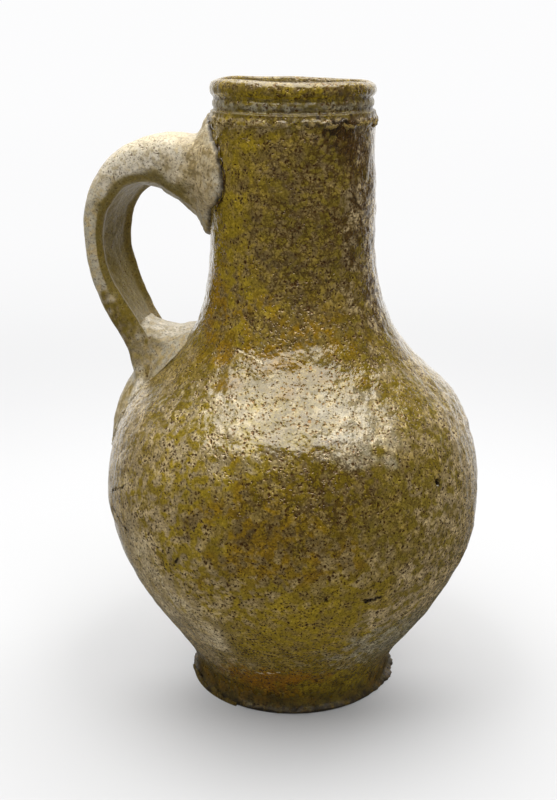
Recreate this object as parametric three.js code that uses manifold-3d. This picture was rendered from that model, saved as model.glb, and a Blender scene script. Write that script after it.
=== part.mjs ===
// A small salt-glazed stoneware jug: a wheel-thrown vessel with a pulled strap handle.
// Millimetres, +Z up. The origin is the centre of the flat, wire-cut base. The handle points along -X.
import * as THREE from "three";
import { mergeVertices } from "three/addons/utils/BufferGeometryUtils.js";
import Module from "manifold-3d";

// The foot, and the bevel of the wire-cut base.
const FOOT_RADIUS = 34.4;
const FOOT_EDGE_HEIGHT = 1.3;
const BASE_BEVEL = 0.8;
const WAIST_INSET = 0.8;
const WAIST_HEIGHT = 4.4;

// The thrown wall, as heights stacked from the base up to the lip.
const BELLY_RADIUS = 61.9;
const BELLY_HEIGHT = 68.5;
const SHOULDER_RADIUS = 51;
const SHOULDER_RISE = 33;
const SHOULDER_SLOPE = THREE.MathUtils.degToRad(46.4);
const NECK_RADIUS = 25.2;
const NECK_FLARE = 0.7;
const NECK_FOOT_RISE = 53.5;
const NECK_LENGTH = 31.6;
const COLLAR_HEIGHT = 13.4;

// How far each end of a curve holds its direction before it turns.
const WAIST_HOLD = 15;
const BELLY_HOLD_BELOW = 33;
const BELLY_HOLD_ABOVE = 21.7;
const SHOULDER_HOLD_BELOW = 2.3;
const SHOULDER_HOLD_ABOVE = 22;
const NECK_HOLD = 34.4;

// The turned rim: a round lip, a groove, a thin cordon, a second groove and a plain collar.
const LIP_HEIGHT = 6.6;
const LIP_PROJECTION = 0.1;
const LIP_CREST_INSET = 2.3;
const GROOVE_DEPTH = 1.2;
const GROOVE_ROUNDING = 0.3;
const CORDON_INSET = 0.7;
const CORDON_HEIGHT = 2.6;
const COLLAR_STEP = 0.35;
const RIM_SLOPE = THREE.MathUtils.degToRad(1.7);

// Wall thicknesses of the fired clay.
const BELLY_WALL = 4.4;
const NECK_WALL = 3.9;
const LIP_WALL = 3.6;
const FLOOR = 7;
const FLOOR_CORNER = 11;

// The ragged edge of the foot, where soft clay squashed out on the board: how far it strays, and the
// waves round the foot that it is made of.
const FOOT_RAGGEDNESS = 0.45;
const FOOT_WAVES = [
  { count: 7, share: 1, phase: 0 },
  { count: 13, share: 0.6, phase: 1.1 },
  { count: 19, share: 0.5, phase: 1.6 },
];

// The strap handle: pulled to a flat section with rounded corners and a shallow finger channel under
// it. At the neck it swells to a root with a square top and a keel-shaped underside, which reaches up
// to the collar and this far round the neck on each side.
const STRAP_SQUARENESS = 0.62;
const KEEL = 1.35;
const CHANNEL_DEPTH = 1.3;
const CHANNEL_HALF_WIDTH = 0.72;
const CHANNEL_SHOULDER = 0.45;
const ROOT_DROP = 17.8;
const ROOT_SPREAD = THREE.MathUtils.degToRad(57);
const ROOT_OVERLAP = 0.9;
const ROOT_HALF_HEIGHT = 20.8;

// Stations along the strap. The upper ones are measured out from the neck and up from the root, the
// lower ones out from the wall and up from the pinch where the strap comes down on the shoulder, and
// the tail's down from the pinch, along the wall. Half widths and half thicknesses are the section's.
const PINCH_RISE = 4.2;
const TAIL_SINK = 0.9;
const UPPER_STATIONS = {
  seat: { out: -5.2, up: 0, halfWidth: 19.8, halfThickness: 20.6 },
  root: { out: 0.4, up: 0, halfWidth: 16.4, halfThickness: 18.5 },
  flare: { out: 4.8, up: 1.5, halfWidth: 13.6, halfThickness: 13 },
  throat: { out: 10.2, up: 3.7, halfWidth: 12.4, halfThickness: 9.9 },
  crown: { out: 17.4, up: 5.8, halfWidth: 12, halfThickness: 8 },
  bend: { out: 28.4, up: 1.5, halfWidth: 12, halfThickness: 6.8 },
  outermost: { out: 35.8, up: -9.6, halfWidth: 12, halfThickness: 5.9 },
  limb: { out: 36.8, up: -23.1, halfWidth: 12, halfThickness: 5.1 },
};
const LOWER_STATIONS = {
  midLimb: { out: 11.7, up: 28.6, halfWidth: 12, halfThickness: 4.7 },
  lowLimb: { out: 6.9, up: 18.3, halfWidth: 12, halfThickness: 4.6 },
  landing: { out: 2, up: 9, halfWidth: 12.4, halfThickness: 4.6 },
  pinch: { out: 1, up: 0, halfWidth: 13.4, halfThickness: 4.6 },
};
const TAIL_STATIONS = {
  heel: { down: 8.3, halfWidth: 14.4, halfThickness: 4.7 },
  tail: { down: 16.3, halfWidth: 12.6, halfThickness: 3.6 },
  tongue: { down: 23.3, halfWidth: 9.4, halfThickness: 2.7 },
  tip: { down: 27.3, halfWidth: 4.2, halfThickness: 2.1 },
};

// The slip that luted the handle on, and how far it was squeezed out round the join.
const SLIP_THICKNESS = 0.5;
const SLIP_SQUEEZE = 0.35;
const JOINT_GAP = 0.25;

// The wad of clay thumbed into the angle between the strap and the shoulder.
const WAD_RISE = 15.3;
const WAD_DROP = 2.7;
const WAD_SAG = 3;
const WAD_TOP_HALF_WIDTH = 9;
const WAD_BOTTOM_HALF_WIDTH = 15;
const WAD_PINCH = 2.2;
const WAD_NARROWING = 0.3;
const WAD_ROOTING = 8;

// Heights and radii that follow from the sizes above.
const SHOULDER_HEIGHT = BELLY_HEIGHT + SHOULDER_RISE;
const NECK_FOOT_HEIGHT = SHOULDER_HEIGHT + NECK_FOOT_RISE;
const COLLAR_FOOT_HEIGHT = NECK_FOOT_HEIGHT + NECK_LENGTH;
const RIM_HEIGHT = COLLAR_FOOT_HEIGHT + COLLAR_HEIGHT;
const WAIST_RADIUS = FOOT_RADIUS - WAIST_INSET;
const NECK_FOOT_RADIUS = NECK_RADIUS + NECK_FLARE;
const ROOT_HEIGHT = COLLAR_FOOT_HEIGHT - ROOT_DROP;
const PINCH_HEIGHT = SHOULDER_HEIGHT + PINCH_RISE;

// Fineness of the facets.
const TURNS = 56;
const BODY_STEPS = 26;
const RIM_STEPS = 3;
const FLOOR_STEPS = 5;
const STRAP_STEPS = 64;
const SECTION_POINTS = 28;
const WAD_STEPS = 6;

const UPRIGHT = new THREE.Vector3(0, 0, 1);

const wasm = await Module();
wasm.setup();

/** A closed three.js geometry as a manifold solid. */
function solidFrom(geometry) {
  const bare = geometry.clone();
  bare.deleteAttribute("normal");
  bare.deleteAttribute("uv");
  const merged = mergeVertices(bare, 1e-4);
  return new wasm.Manifold(
    new wasm.Mesh({
      numProp: 3,
      vertProperties: new Float32Array(merged.attributes.position.array),
      triVerts: new Uint32Array(merged.index.array),
    }),
  );
}

/** A manifold solid as a named three.js mesh. */
function meshFrom(solid, name, material) {
  const { vertProperties, triVerts, numProp, numVert } = solid.getMesh();
  const places = new Float32Array(numVert * 3);
  for (let i = 0; i < numVert; i++) {
    places.set(vertProperties.subarray(i * numProp, i * numProp + 3), i * 3);
  }
  const geometry = new THREE.BufferGeometry();
  geometry.setAttribute("position", new THREE.BufferAttribute(places, 3));
  geometry.setIndex(new THREE.BufferAttribute(new Uint32Array(triVerts), 1));
  geometry.computeVertexNormals();
  const mesh = new THREE.Mesh(geometry, material);
  mesh.name = name;
  return mesh;
}

/** Revolves an outline of (radius, height) points about the upright axis. */
function turned(outline) {
  return new THREE.LatheGeometry(outline, TURNS).rotateX(Math.PI / 2);
}

/** The outside of the thrown wall, from the waist above the foot to the top of the neck. */
function wallPath() {
  const lean = new THREE.Vector2(-Math.cos(SHOULDER_SLOPE), Math.sin(SHOULDER_SLOPE));
  const path = new THREE.Path();
  path.moveTo(WAIST_RADIUS, WAIST_HEIGHT);
  path.bezierCurveTo(
    WAIST_RADIUS, WAIST_HEIGHT + WAIST_HOLD,
    BELLY_RADIUS, BELLY_HEIGHT - BELLY_HOLD_BELOW,
    BELLY_RADIUS, BELLY_HEIGHT,
  );
  path.bezierCurveTo(
    BELLY_RADIUS, BELLY_HEIGHT + BELLY_HOLD_ABOVE,
    SHOULDER_RADIUS - SHOULDER_HOLD_BELOW * lean.x, SHOULDER_HEIGHT - SHOULDER_HOLD_BELOW * lean.y,
    SHOULDER_RADIUS, SHOULDER_HEIGHT,
  );
  path.bezierCurveTo(
    SHOULDER_RADIUS + SHOULDER_HOLD_ABOVE * lean.x, SHOULDER_HEIGHT + SHOULDER_HOLD_ABOVE * lean.y,
    NECK_FOOT_RADIUS, NECK_FOOT_HEIGHT - NECK_HOLD,
    NECK_FOOT_RADIUS, NECK_FOOT_HEIGHT,
  );
  path.lineTo(NECK_RADIUS, COLLAR_FOOT_HEIGHT);
  return path;
}

/** Points along the wall's outside, moved outwards by the amount that `outwards` gives for a height. */
function wallPoints(outwards) {
  const path = wallPath();
  return Array.from({ length: BODY_STEPS + 1 }, (_, i) => {
    const share = i / BODY_STEPS;
    const point = path.getPoint(share);
    const along = path.getTangent(share);
    const shift = outwards(point.y);
    return new THREE.Vector2(point.x + along.y * shift, point.y - along.x * shift);
  });
}

/** The outside radius of the wall at a height. */
function wallRadius(height) {
  const wall = wallPoints(() => 0);
  const above = wall.findIndex((point) => point.y >= height);
  const share = THREE.MathUtils.inverseLerp(wall[above - 1].y, wall[above].y, height);
  return THREE.MathUtils.lerp(wall[above - 1].x, wall[above].x, share);
}

/** The wall's thickness at a height: heavier in the belly than in the neck. */
function wallAt(height) {
  const share = THREE.MathUtils.smoothstep(height, BELLY_HEIGHT, NECK_FOOT_HEIGHT);
  return THREE.MathUtils.lerp(BELLY_WALL, NECK_WALL, share);
}

/** The turned rim from the collar's foot, over the lip, to the mouth's inner edge. */
function rimOutline() {
  const lipFoot = RIM_HEIGHT - LIP_HEIGHT;
  const cordonFoot = lipFoot - CORDON_HEIGHT;
  const lipRadius = NECK_RADIUS + LIP_PROJECTION;
  const cordonRadius = NECK_RADIUS - CORDON_INSET;
  const mouthRadius = lipRadius - LIP_WALL;
  const crestRadius = lipRadius - LIP_CREST_INSET;
  const rim = new THREE.Path();
  rim.moveTo(NECK_RADIUS + COLLAR_STEP, COLLAR_FOOT_HEIGHT + COLLAR_STEP);
  rim.lineTo(NECK_RADIUS, cordonFoot - CORDON_HEIGHT / 2);
  rim.lineTo(NECK_RADIUS - GROOVE_DEPTH, cordonFoot);
  rim.quadraticCurveTo(cordonRadius, cordonFoot, cordonRadius, cordonFoot + CORDON_HEIGHT / 2);
  rim.quadraticCurveTo(cordonRadius, lipFoot - GROOVE_ROUNDING, lipRadius - GROOVE_DEPTH, lipFoot);
  rim.quadraticCurveTo(lipRadius, lipFoot + GROOVE_ROUNDING, lipRadius, RIM_HEIGHT - LIP_HEIGHT / 2);
  rim.quadraticCurveTo(lipRadius, RIM_HEIGHT, crestRadius, RIM_HEIGHT);
  rim.quadraticCurveTo(mouthRadius, RIM_HEIGHT, mouthRadius, RIM_HEIGHT - LIP_WALL / 2);
  return rim.getPoints(RIM_STEPS);
}

/** The inside of the vessel from the neck down to the middle of the floor. */
function insideOutline() {
  const wall = wallPoints((height) => -wallAt(height));
  const corner = wall.findIndex((point) => point.y > FLOOR + FLOOR_CORNER);
  const inside = wall.slice(corner).reverse();
  const start = inside.at(-1);
  const floor = new THREE.Path();
  floor.moveTo(start.x, start.y);
  floor.quadraticCurveTo(start.x - FLOOR_CORNER / 2, FLOOR, 0, FLOOR);
  return [...inside, ...floor.getPoints(FLOOR_STEPS).slice(1)];
}

/** How far the foot's edge strays outwards at an angle round the jug, about -1 to 1. */
function footStray(turn) {
  return FOOT_WAVES.reduce((sum, { count, share, phase }) => sum + share * Math.sin(count * turn + phase), 0);
}

/** Moves the vertices of the turned vessel to its hand-made state: a sloping lip and a ragged foot. */
function handFinish(geometry) {
  const places = geometry.attributes.position;
  const lipFoot = RIM_HEIGHT - LIP_HEIGHT;
  for (let i = 0; i < places.count; i++) {
    const x = places.getX(i);
    const y = places.getY(i);
    const z = places.getZ(i);
    const lift = THREE.MathUtils.clamp((z - lipFoot) / LIP_HEIGHT, 0, 1);
    const low = 1 - THREE.MathUtils.smoothstep(z, FOOT_EDGE_HEIGHT, WAIST_HEIGHT);
    const outside = THREE.MathUtils.smoothstep(Math.hypot(x, y), WAIST_RADIUS - 1, WAIST_RADIUS);
    const stray = FOOT_RAGGEDNESS * footStray(Math.atan2(y, x)) * low * outside;
    const grow = 1 + stray / FOOT_RADIUS;
    places.setXYZ(i, x * grow, y * grow, z - lift * x * Math.tan(RIM_SLOPE));
  }
  return geometry;
}

/** The vessel, thrown in one piece: flat base, foot, belly, neck and rim, hollow and open at the mouth. */
function vesselSolid() {
  const outline = [
    new THREE.Vector2(0, 0),
    new THREE.Vector2(WAIST_RADIUS - 1, 0),
    new THREE.Vector2(FOOT_RADIUS - BASE_BEVEL, 0),
    new THREE.Vector2(FOOT_RADIUS, FOOT_EDGE_HEIGHT),
    new THREE.Vector2((FOOT_RADIUS + WAIST_RADIUS) / 2, (FOOT_EDGE_HEIGHT + WAIST_HEIGHT) / 2),
    ...wallPoints(() => 0),
    ...rimOutline(),
    ...insideOutline(),
  ];
  return solidFrom(handFinish(turned(outline)));
}

/** The space that the vessel fills, without its hollow or rim mouldings, swollen by a clearance. */
function vesselEnvelope(clearance) {
  const wall = wallPoints(() => clearance);
  const collarRadius = NECK_RADIUS + COLLAR_STEP + clearance;
  const collarFoot = COLLAR_FOOT_HEIGHT - clearance;
  const above = RIM_HEIGHT + LIP_HEIGHT;
  return solidFrom(
    turned([
      new THREE.Vector2(0, 0),
      new THREE.Vector2(wall[0].x, 0),
      ...wall.filter((point) => point.y < collarFoot),
      new THREE.Vector2(NECK_RADIUS + clearance, collarFoot),
      new THREE.Vector2(collarRadius, collarFoot),
      new THREE.Vector2(collarRadius, above),
      new THREE.Vector2(0, above),
    ]),
  );
}

/** Raises a value between -1 and 1 to a power and keeps its sign. */
function signedPower(value, power) {
  return Math.sign(value) * Math.abs(value) ** power;
}

/**
 * One point of the strap's section: `across` the width and `over` towards the outer face, -1 to 1,
 * and `channel`, how far the point lies in the finger channel. `rooted` is 1 at the neck, 0 in the loop.
 */
function sectionPoint(turn, rooted) {
  const keel = THREE.MathUtils.lerp(STRAP_SQUARENESS, KEEL, rooted);
  const power = Math.cos(turn) < 0 ? keel : STRAP_SQUARENESS;
  const across = signedPower(Math.sin(turn), power);
  const over = signedPower(Math.cos(turn), power);
  const within = over < 0 ? CHANNEL_HALF_WIDTH - Math.abs(across) : 0;
  return { across, over, channel: (1 - rooted) * THREE.MathUtils.smoothstep(within, 0, CHANNEL_SHOULDER) };
}

/** The strap's stations, each at its distance out from the jug's axis and its height. */
function strapStations() {
  const landingRadius = wallRadius(PINCH_HEIGHT);
  const placed = (stations, place) => Object.values(stations).map((each) => ({ ...each, ...place(each) }));
  return [
    {
      out: NECK_RADIUS * Math.cos(ROOT_SPREAD),
      height: ROOT_HEIGHT,
      halfWidth: NECK_RADIUS * Math.sin(ROOT_SPREAD) + ROOT_OVERLAP,
      halfThickness: ROOT_HALF_HEIGHT,
    },
    ...placed(UPPER_STATIONS, ({ out, up }) => ({ out: NECK_RADIUS + out, height: ROOT_HEIGHT + up })),
    ...placed(LOWER_STATIONS, ({ out, up }) => ({ out: landingRadius + out, height: PINCH_HEIGHT + up })),
    ...placed(TAIL_STATIONS, ({ down }) => ({
      out: wallRadius(PINCH_HEIGHT - down) - TAIL_SINK,
      height: PINCH_HEIGHT - down,
    })),
  ];
}

/** The strap as a loft of its section along the stations, grown all round by a clearance. */
function strapSolid(clearance) {
  const stations = strapStations();
  const rootOut = NECK_RADIUS + UPPER_STATIONS.root.out;
  const crownOut = NECK_RADIUS + UPPER_STATIONS.crown.out;
  const heelHeight = PINCH_HEIGHT - TAIL_STATIONS.heel.down;
  const landingHeight = PINCH_HEIGHT + LOWER_STATIONS.landing.up;
  const route = new THREE.CatmullRomCurve3(
    stations.map(({ out, height }) => new THREE.Vector3(-out, 0, height)), false, "centripetal",
  );
  const sizes = new THREE.CatmullRomCurve3(
    stations.map(({ halfWidth, halfThickness }) => new THREE.Vector3(halfWidth, halfThickness, 0)),
  );
  const places = [];
  for (let i = 0; i <= STRAP_STEPS; i++) {
    const share = i / STRAP_STEPS;
    const middle = route.getPoint(share);
    const along = route.getTangent(share);
    const size = sizes.getPoint(share);
    const rooted = 1 - THREE.MathUtils.smoothstep(-middle.x, rootOut, crownOut);
    const outwards = new THREE.Vector3(along.z, 0, -along.x).lerp(UPRIGHT, rooted).normalize();
    const lying = 1 - THREE.MathUtils.smoothstep(middle.z, heelHeight, landingHeight);
    for (let k = 0; k < SECTION_POINTS; k++) {
      const { across, over, channel } = sectionPoint((2 * Math.PI * k) / SECTION_POINTS, rooted);
      const aside = across * (size.x + clearance);
      const wrap = (lying * aside ** 2) / (2 * SHOULDER_RADIUS);
      const thick = over * (size.y + clearance) + channel * (1 - lying) * CHANNEL_DEPTH - wrap;
      places.push(middle.x + outwards.x * thick, aside, middle.z + outwards.z * thick);
    }
  }
  return solidFrom(loft(places, STRAP_STEPS, SECTION_POINTS));
}

/** Joins rings of points into a closed skin, with a fan over each end. */
function loft(places, steps, ringSize) {
  const faces = [];
  for (let i = 0; i < steps; i++) {
    for (let k = 0; k < ringSize; k++) {
      const a = i * ringSize + k;
      const b = i * ringSize + ((k + 1) % ringSize);
      faces.push(a, b, b + ringSize, a, b + ringSize, a + ringSize);
    }
  }
  const last = steps * ringSize;
  for (let k = 1; k < ringSize - 1; k++) {
    faces.push(0, k + 1, k);
    faces.push(last, last + k, last + k + 1);
  }
  const geometry = new THREE.BufferGeometry();
  geometry.setAttribute("position", new THREE.Float32BufferAttribute(places, 3));
  geometry.setIndex(faces);
  return geometry;
}

/** The wad thumbed into the angle under the strap: sagging on top and spreading towards its foot. */
function wadSolid() {
  const top = PINCH_HEIGHT + WAD_RISE;
  const bottom = PINCH_HEIGHT - WAD_DROP;
  const brow = top + WAD_SAG;
  const landingRadius = wallRadius(PINCH_HEIGHT);
  const underStrap = landingRadius + LOWER_STATIONS.lowLimb.out;
  const inWall = wallRadius(top) - WAD_ROOTING;
  const side = new THREE.Shape();
  side.moveTo(inWall, bottom);
  side.lineTo(landingRadius + LOWER_STATIONS.pinch.out, bottom);
  side.lineTo(underStrap, brow);
  side.quadraticCurveTo((underStrap + inWall) / 2, top - WAD_SAG, inWall, brow);
  const block = new THREE.ExtrudeGeometry(side, {
    depth: 2, bevelEnabled: false, curveSegments: 8, steps: WAD_STEPS,
  });
  block.translate(0, 0, -1);
  const places = block.attributes.position;
  for (let i = 0; i < places.count; i++) {
    const out = places.getX(i);
    const height = places.getY(i);
    const across = places.getZ(i);
    const low = THREE.MathUtils.inverseLerp(brow, bottom, height);
    const towardsStrap = THREE.MathUtils.inverseLerp(inWall, underStrap, out);
    const halfWidth = THREE.MathUtils.lerp(WAD_TOP_HALF_WIDTH, WAD_BOTTOM_HALF_WIDTH, low)
      * (1 - WAD_NARROWING * towardsStrap);
    const pinch = WAD_PINCH * across ** 2 * (1 - low);
    places.setXYZ(i, -out, across * halfWidth, height - pinch);
  }
  return solidFrom(block);
}

/** A fired clay surface of one colour. */
function clay(color, roughness) {
  return new THREE.MeshStandardMaterial({ color, roughness, metalness: 0 });
}


// The handle is cut back to the vessel with room for the slip, and the slip is the film that the
// strap's foot prints on the vessel. The wad fills the angle that the strap and the vessel leave.
const handle = strapSolid(0).subtract(vesselEnvelope(SLIP_THICKNESS + 2 * JOINT_GAP));
const slip = strapSolid(SLIP_SQUEEZE)
  .intersect(vesselEnvelope(JOINT_GAP + SLIP_THICKNESS))
  .subtract(vesselEnvelope(JOINT_GAP));
const [lowerSlip, upperSlip] = slip.splitByPlane([0, 0, -1], -(ROOT_HEIGHT + PINCH_HEIGHT) / 2);
const slipRoom = strapSolid(SLIP_SQUEEZE + JOINT_GAP).intersect(
  vesselEnvelope(SLIP_THICKNESS + 2 * JOINT_GAP),
);
const wad = wadSolid()
  .subtract(vesselEnvelope(JOINT_GAP))
  .subtract(strapSolid(JOINT_GAP))
  .subtract(slipRoom);

const jug = new THREE.Group();
jug.add(
  meshFrom(vesselSolid(), "vessel", clay("#8a7a45", 0.38)),
  meshFrom(handle, "strap_handle", clay("#9d9580", 0.42)),
  meshFrom(upperSlip, "upper_join_slip", clay("#5c4f2a", 0.7)),
  meshFrom(lowerSlip, "lower_join_slip", clay("#5c4f2a", 0.7)),
  meshFrom(wad, "lower_join_wad", clay("#b0a78e", 0.45)),
);

export default jug;
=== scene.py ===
import logging
import math
from dataclasses import dataclass, field, replace
from enum import Enum, IntEnum
from typing import Sequence

import bmesh
import bpy
import numpy as np
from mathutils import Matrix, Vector


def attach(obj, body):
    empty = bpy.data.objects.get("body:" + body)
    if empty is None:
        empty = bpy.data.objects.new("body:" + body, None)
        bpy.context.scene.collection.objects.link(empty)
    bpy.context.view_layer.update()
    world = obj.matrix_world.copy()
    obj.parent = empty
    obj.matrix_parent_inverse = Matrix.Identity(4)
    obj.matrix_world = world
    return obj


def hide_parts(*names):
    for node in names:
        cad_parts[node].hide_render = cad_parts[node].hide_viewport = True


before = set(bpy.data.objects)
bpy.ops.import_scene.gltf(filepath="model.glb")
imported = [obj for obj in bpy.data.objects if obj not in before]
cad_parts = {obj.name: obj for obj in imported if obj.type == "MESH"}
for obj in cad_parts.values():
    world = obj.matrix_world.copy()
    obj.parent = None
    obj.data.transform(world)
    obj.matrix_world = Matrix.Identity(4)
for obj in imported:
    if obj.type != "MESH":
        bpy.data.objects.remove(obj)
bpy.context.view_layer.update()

MM = 0.001
LOG = logging.getLogger("jug")

# Where the camera stands round the jug, and the bearing on the pot that faces it.
CAMERA_AZIMUTH = 12.0
FACING = CAMERA_AZIMUTH - 90.0

# A gouge no deeper than this, in millimetres, shows pale clay; a deeper one is painted near-black inside, as
# painted shade.
SCRATCH_DEPTH = 0.5

# The white of the surround and of the table far away.
SURROUND_WHITE = (0.975, 0.975, 0.98, 1)

# Where a step begins and ends, and where a ramp begins, is full, starts to fade and ends.
Span = tuple[float, float]
Band = tuple[float, float, float, float]
Colour = tuple[float, float, float, float]


class Draw(IntEnum):
    """The seeds of the smooth random fields, by what each one moves."""

    FOOT_EDGE = 5
    FOOT_CHIPS = 6
    LIP = 8
    COLLAR_EDGE = 12
    COLLAR_LUMPS = 13
    WRINKLES = 15
    ROOT_WAVER = 31
    ROOT_LUMPS = 32
    BEAD_X = 41
    BEAD_Y = 42
    BEAD_Z = 43
    BEAD_GIRTH = 44
    CHANNEL_EDGE = 51
    STREAK_EDGE = 52
    GOUGE_X = 61
    GOUGE_Y = 62
    GOUGE_Z = 63
    FLAP_RISE = 71
    FLAP_LEAN = 72
    CRUST_WAVER = 81
    CRUST_LUMPS = 82


def linear(red: int, green: int, blue: int) -> Colour:
    """A colour as seen on a screen, 0 to 255, as the linear values that a shader takes.

    Args:
        red, green, blue: The colour's parts.

    Returns:
        The colour with an alpha of one.
    """
    parts = [c / 255 for c in (red, green, blue)]
    return (*(c / 12.92 if c <= 0.04045 else ((c + 0.055) / 1.055) ** 2.4 for c in parts), 1.0)


def smooth(value: np.ndarray | float, low: float, high: float) -> np.ndarray:
    """A smooth step from 0 at low to 1 at high.

    Args:
        value: What is compared.
        low, high: Where the step begins and ends.

    Returns:
        The step, as large as value.
    """
    share = np.clip((np.asarray(value, float) - low) / (high - low), 0, 1)
    return share * share * (3 - 2 * share)


def band(value: np.ndarray, start: float, full: float, fade: float, end: float) -> np.ndarray:
    """1 from full to fade, 0 before start and after end, and smooth between."""
    return smooth(value, start, full) * (1 - smooth(value, fade, end))


def stray(points: np.ndarray, size: float, seed: int, waves: int = 20) -> np.ndarray:
    """A smooth random field about 0, with a spread of about 1, the same on every run.

    Args:
        points: Places in millimetres, a row each.
        size: About how far apart its lumps are.
        seed: Which field.
        waves: How many waves it is the sum of.

    Returns:
        Its value at each point.
    """
    draw = np.random.default_rng(int(seed))
    ways = draw.normal(size=(waves, 3))
    lengths = np.linalg.norm(ways, axis=1, keepdims=True)
    ways *= (2 * math.pi / size) * draw.uniform(0.5, 1.3, (waves, 1)) / lengths
    return np.cos(points @ ways.T + draw.uniform(0, 2 * math.pi, waves)).sum(axis=1) * math.sqrt(2 / waves)


class Wiring:
    """Adds the nodes of one tree and joins them."""

    def __init__(self, tree: bpy.types.NodeTree) -> None:
        """Takes the tree to work on."""
        self.tree = tree

    def add(self, kind: str, inputs: dict | None = None, **settings: object) -> bpy.types.Node:
        """Adds a node.

        Args:
            kind: Blender's type name of the node.
            inputs: Sockets by name or number, each with a value or the socket that feeds it.
            settings: Properties of the node.

        Returns:
            The new node.
        """
        node = self.tree.nodes.new(kind)
        for name, value in settings.items():
            setattr(node, name, value)
        for key, value in (inputs or {}).items():
            self.feed(node.inputs[key], value)
        return node

    def feed(self, socket: bpy.types.NodeSocket, value: object) -> None:
        """Links a socket to another, or sets its value.

        Args:
            socket: The socket that takes it.
            value: A value, or the socket that feeds it.
        """
        if isinstance(value, bpy.types.NodeSocket):
            self.tree.links.new(value, socket)
        else:
            socket.default_value = value

    def math(self, operation: str, *values: object) -> bpy.types.NodeSocket:
        """One step of arithmetic, clamped nowhere."""
        return self.add("ShaderNodeMath", dict(enumerate(values)), operation=operation).outputs[0]

    def vector(self, operation: str, *values: object) -> bpy.types.NodeSocket:
        """One step of vector arithmetic.

        Args:
            operation: Blender's name of the step.
            values: Values or sockets, in the node's order.

        Returns:
            The result, a value or a vector.
        """
        node = self.add("ShaderNodeVectorMath", dict(enumerate(values)), operation=operation)
        return node.outputs["Value" if operation in ("LENGTH", "DOT_PRODUCT") else "Vector"]

    def scaled(self, vector: object, factor: object) -> bpy.types.NodeSocket:
        """A vector or colour times a factor."""
        return self.add("ShaderNodeVectorMath", {0: vector, "Scale": factor}, operation="SCALE").outputs[0]

    def step(self, value: object, low: object, high: object, top: object = 1.0) -> bpy.types.NodeSocket:
        """A smooth step from 0 where value is low to top where it is high.

        Args:
            value: What is compared.
            low, high: Where the step begins and ends.
            top: The value at its end.

        Returns:
            The step.
        """
        node = self.add("ShaderNodeMapRange", interpolation_type="SMOOTHSTEP")
        for name, given in zip(("Value", "From Min", "From Max", "To Max"), (value, low, high, top)):
            self.feed(node.inputs[name], given)
        return node.outputs["Result"]

    def blend(self, share: object, first: object, second: object) -> bpy.types.NodeSocket:
        """Mixes two colours.

        Args:
            share: How much of the second shows.
            first, second: The colours.

        Returns:
            The mixed colour.
        """
        node = self.add("ShaderNodeMix", data_type="RGBA")
        for socket, given in zip((node.inputs[0], node.inputs[6], node.inputs[7]), (share, first, second)):
            self.feed(socket, given)
        return node.outputs[2]

    def noise(self, vector: object, size: float, seed: object, detail: float) -> bpy.types.NodeSocket:
        """Soft noise from 0 to 1 about 0.5.

        Args:
            vector: Where it is read.
            size: The size of its lumps in metres.
            seed: Which field.
            detail: How many finer layers it has.

        Returns:
            The noise.
        """
        given = {"Vector": vector, "W": seed, "Scale": 1 / size, "Detail": detail}
        return self.add("ShaderNodeTexNoise", given, noise_dimensions="4D").outputs[0]


def emptied(owner: bpy.types.Material | bpy.types.World) -> Wiring:
    """The node tree of a new material or world, emptied.

    Args:
        owner: The material or world.

    Returns:
        The tree, ready for its nodes.
    """
    owner.use_nodes = True
    owner.node_tree.nodes.clear()
    return Wiring(owner.node_tree)


class Group:
    """A node group with named sockets, used by several materials."""

    def __init__(self, name: str, inputs: Sequence[tuple], outputs: Sequence[str]) -> None:
        """Makes the empty group.

        Args:
            name: The group's name.
            inputs: Each input's name, its kind (Float, Vector or Color) and its default.
            outputs: Names of the outputs, which are all values.
        """
        self.tree = bpy.data.node_groups.new(name, "ShaderNodeTree")
        for socket, kind, default in inputs:
            made = self.tree.interface.new_socket(socket, in_out="INPUT", socket_type=f"NodeSocket{kind}")
            if default is not None:
                made.default_value = default
        for socket in outputs:
            self.tree.interface.new_socket(socket, in_out="OUTPUT", socket_type="NodeSocketFloat")
        self.wiring = Wiring(self.tree)
        self.given = self.tree.nodes.new("NodeGroupInput").outputs
        self.result = self.tree.nodes.new("NodeGroupOutput").inputs

    def place(self, wiring: Wiring, **inputs: object) -> bpy.types.NodeOutputs:
        """Puts the group in a material.

        Args:
            wiring: The material's tree.
            inputs: Values by the inputs' names, with _ for a space.

        Returns:
            The outputs of the placed group.
        """
        node = wiring.add("ShaderNodeGroup", node_tree=self.tree)
        for name, value in inputs.items():
            wiring.feed(node.inputs[name.replace("_", " ").title()], value)
        return node.outputs


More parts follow.
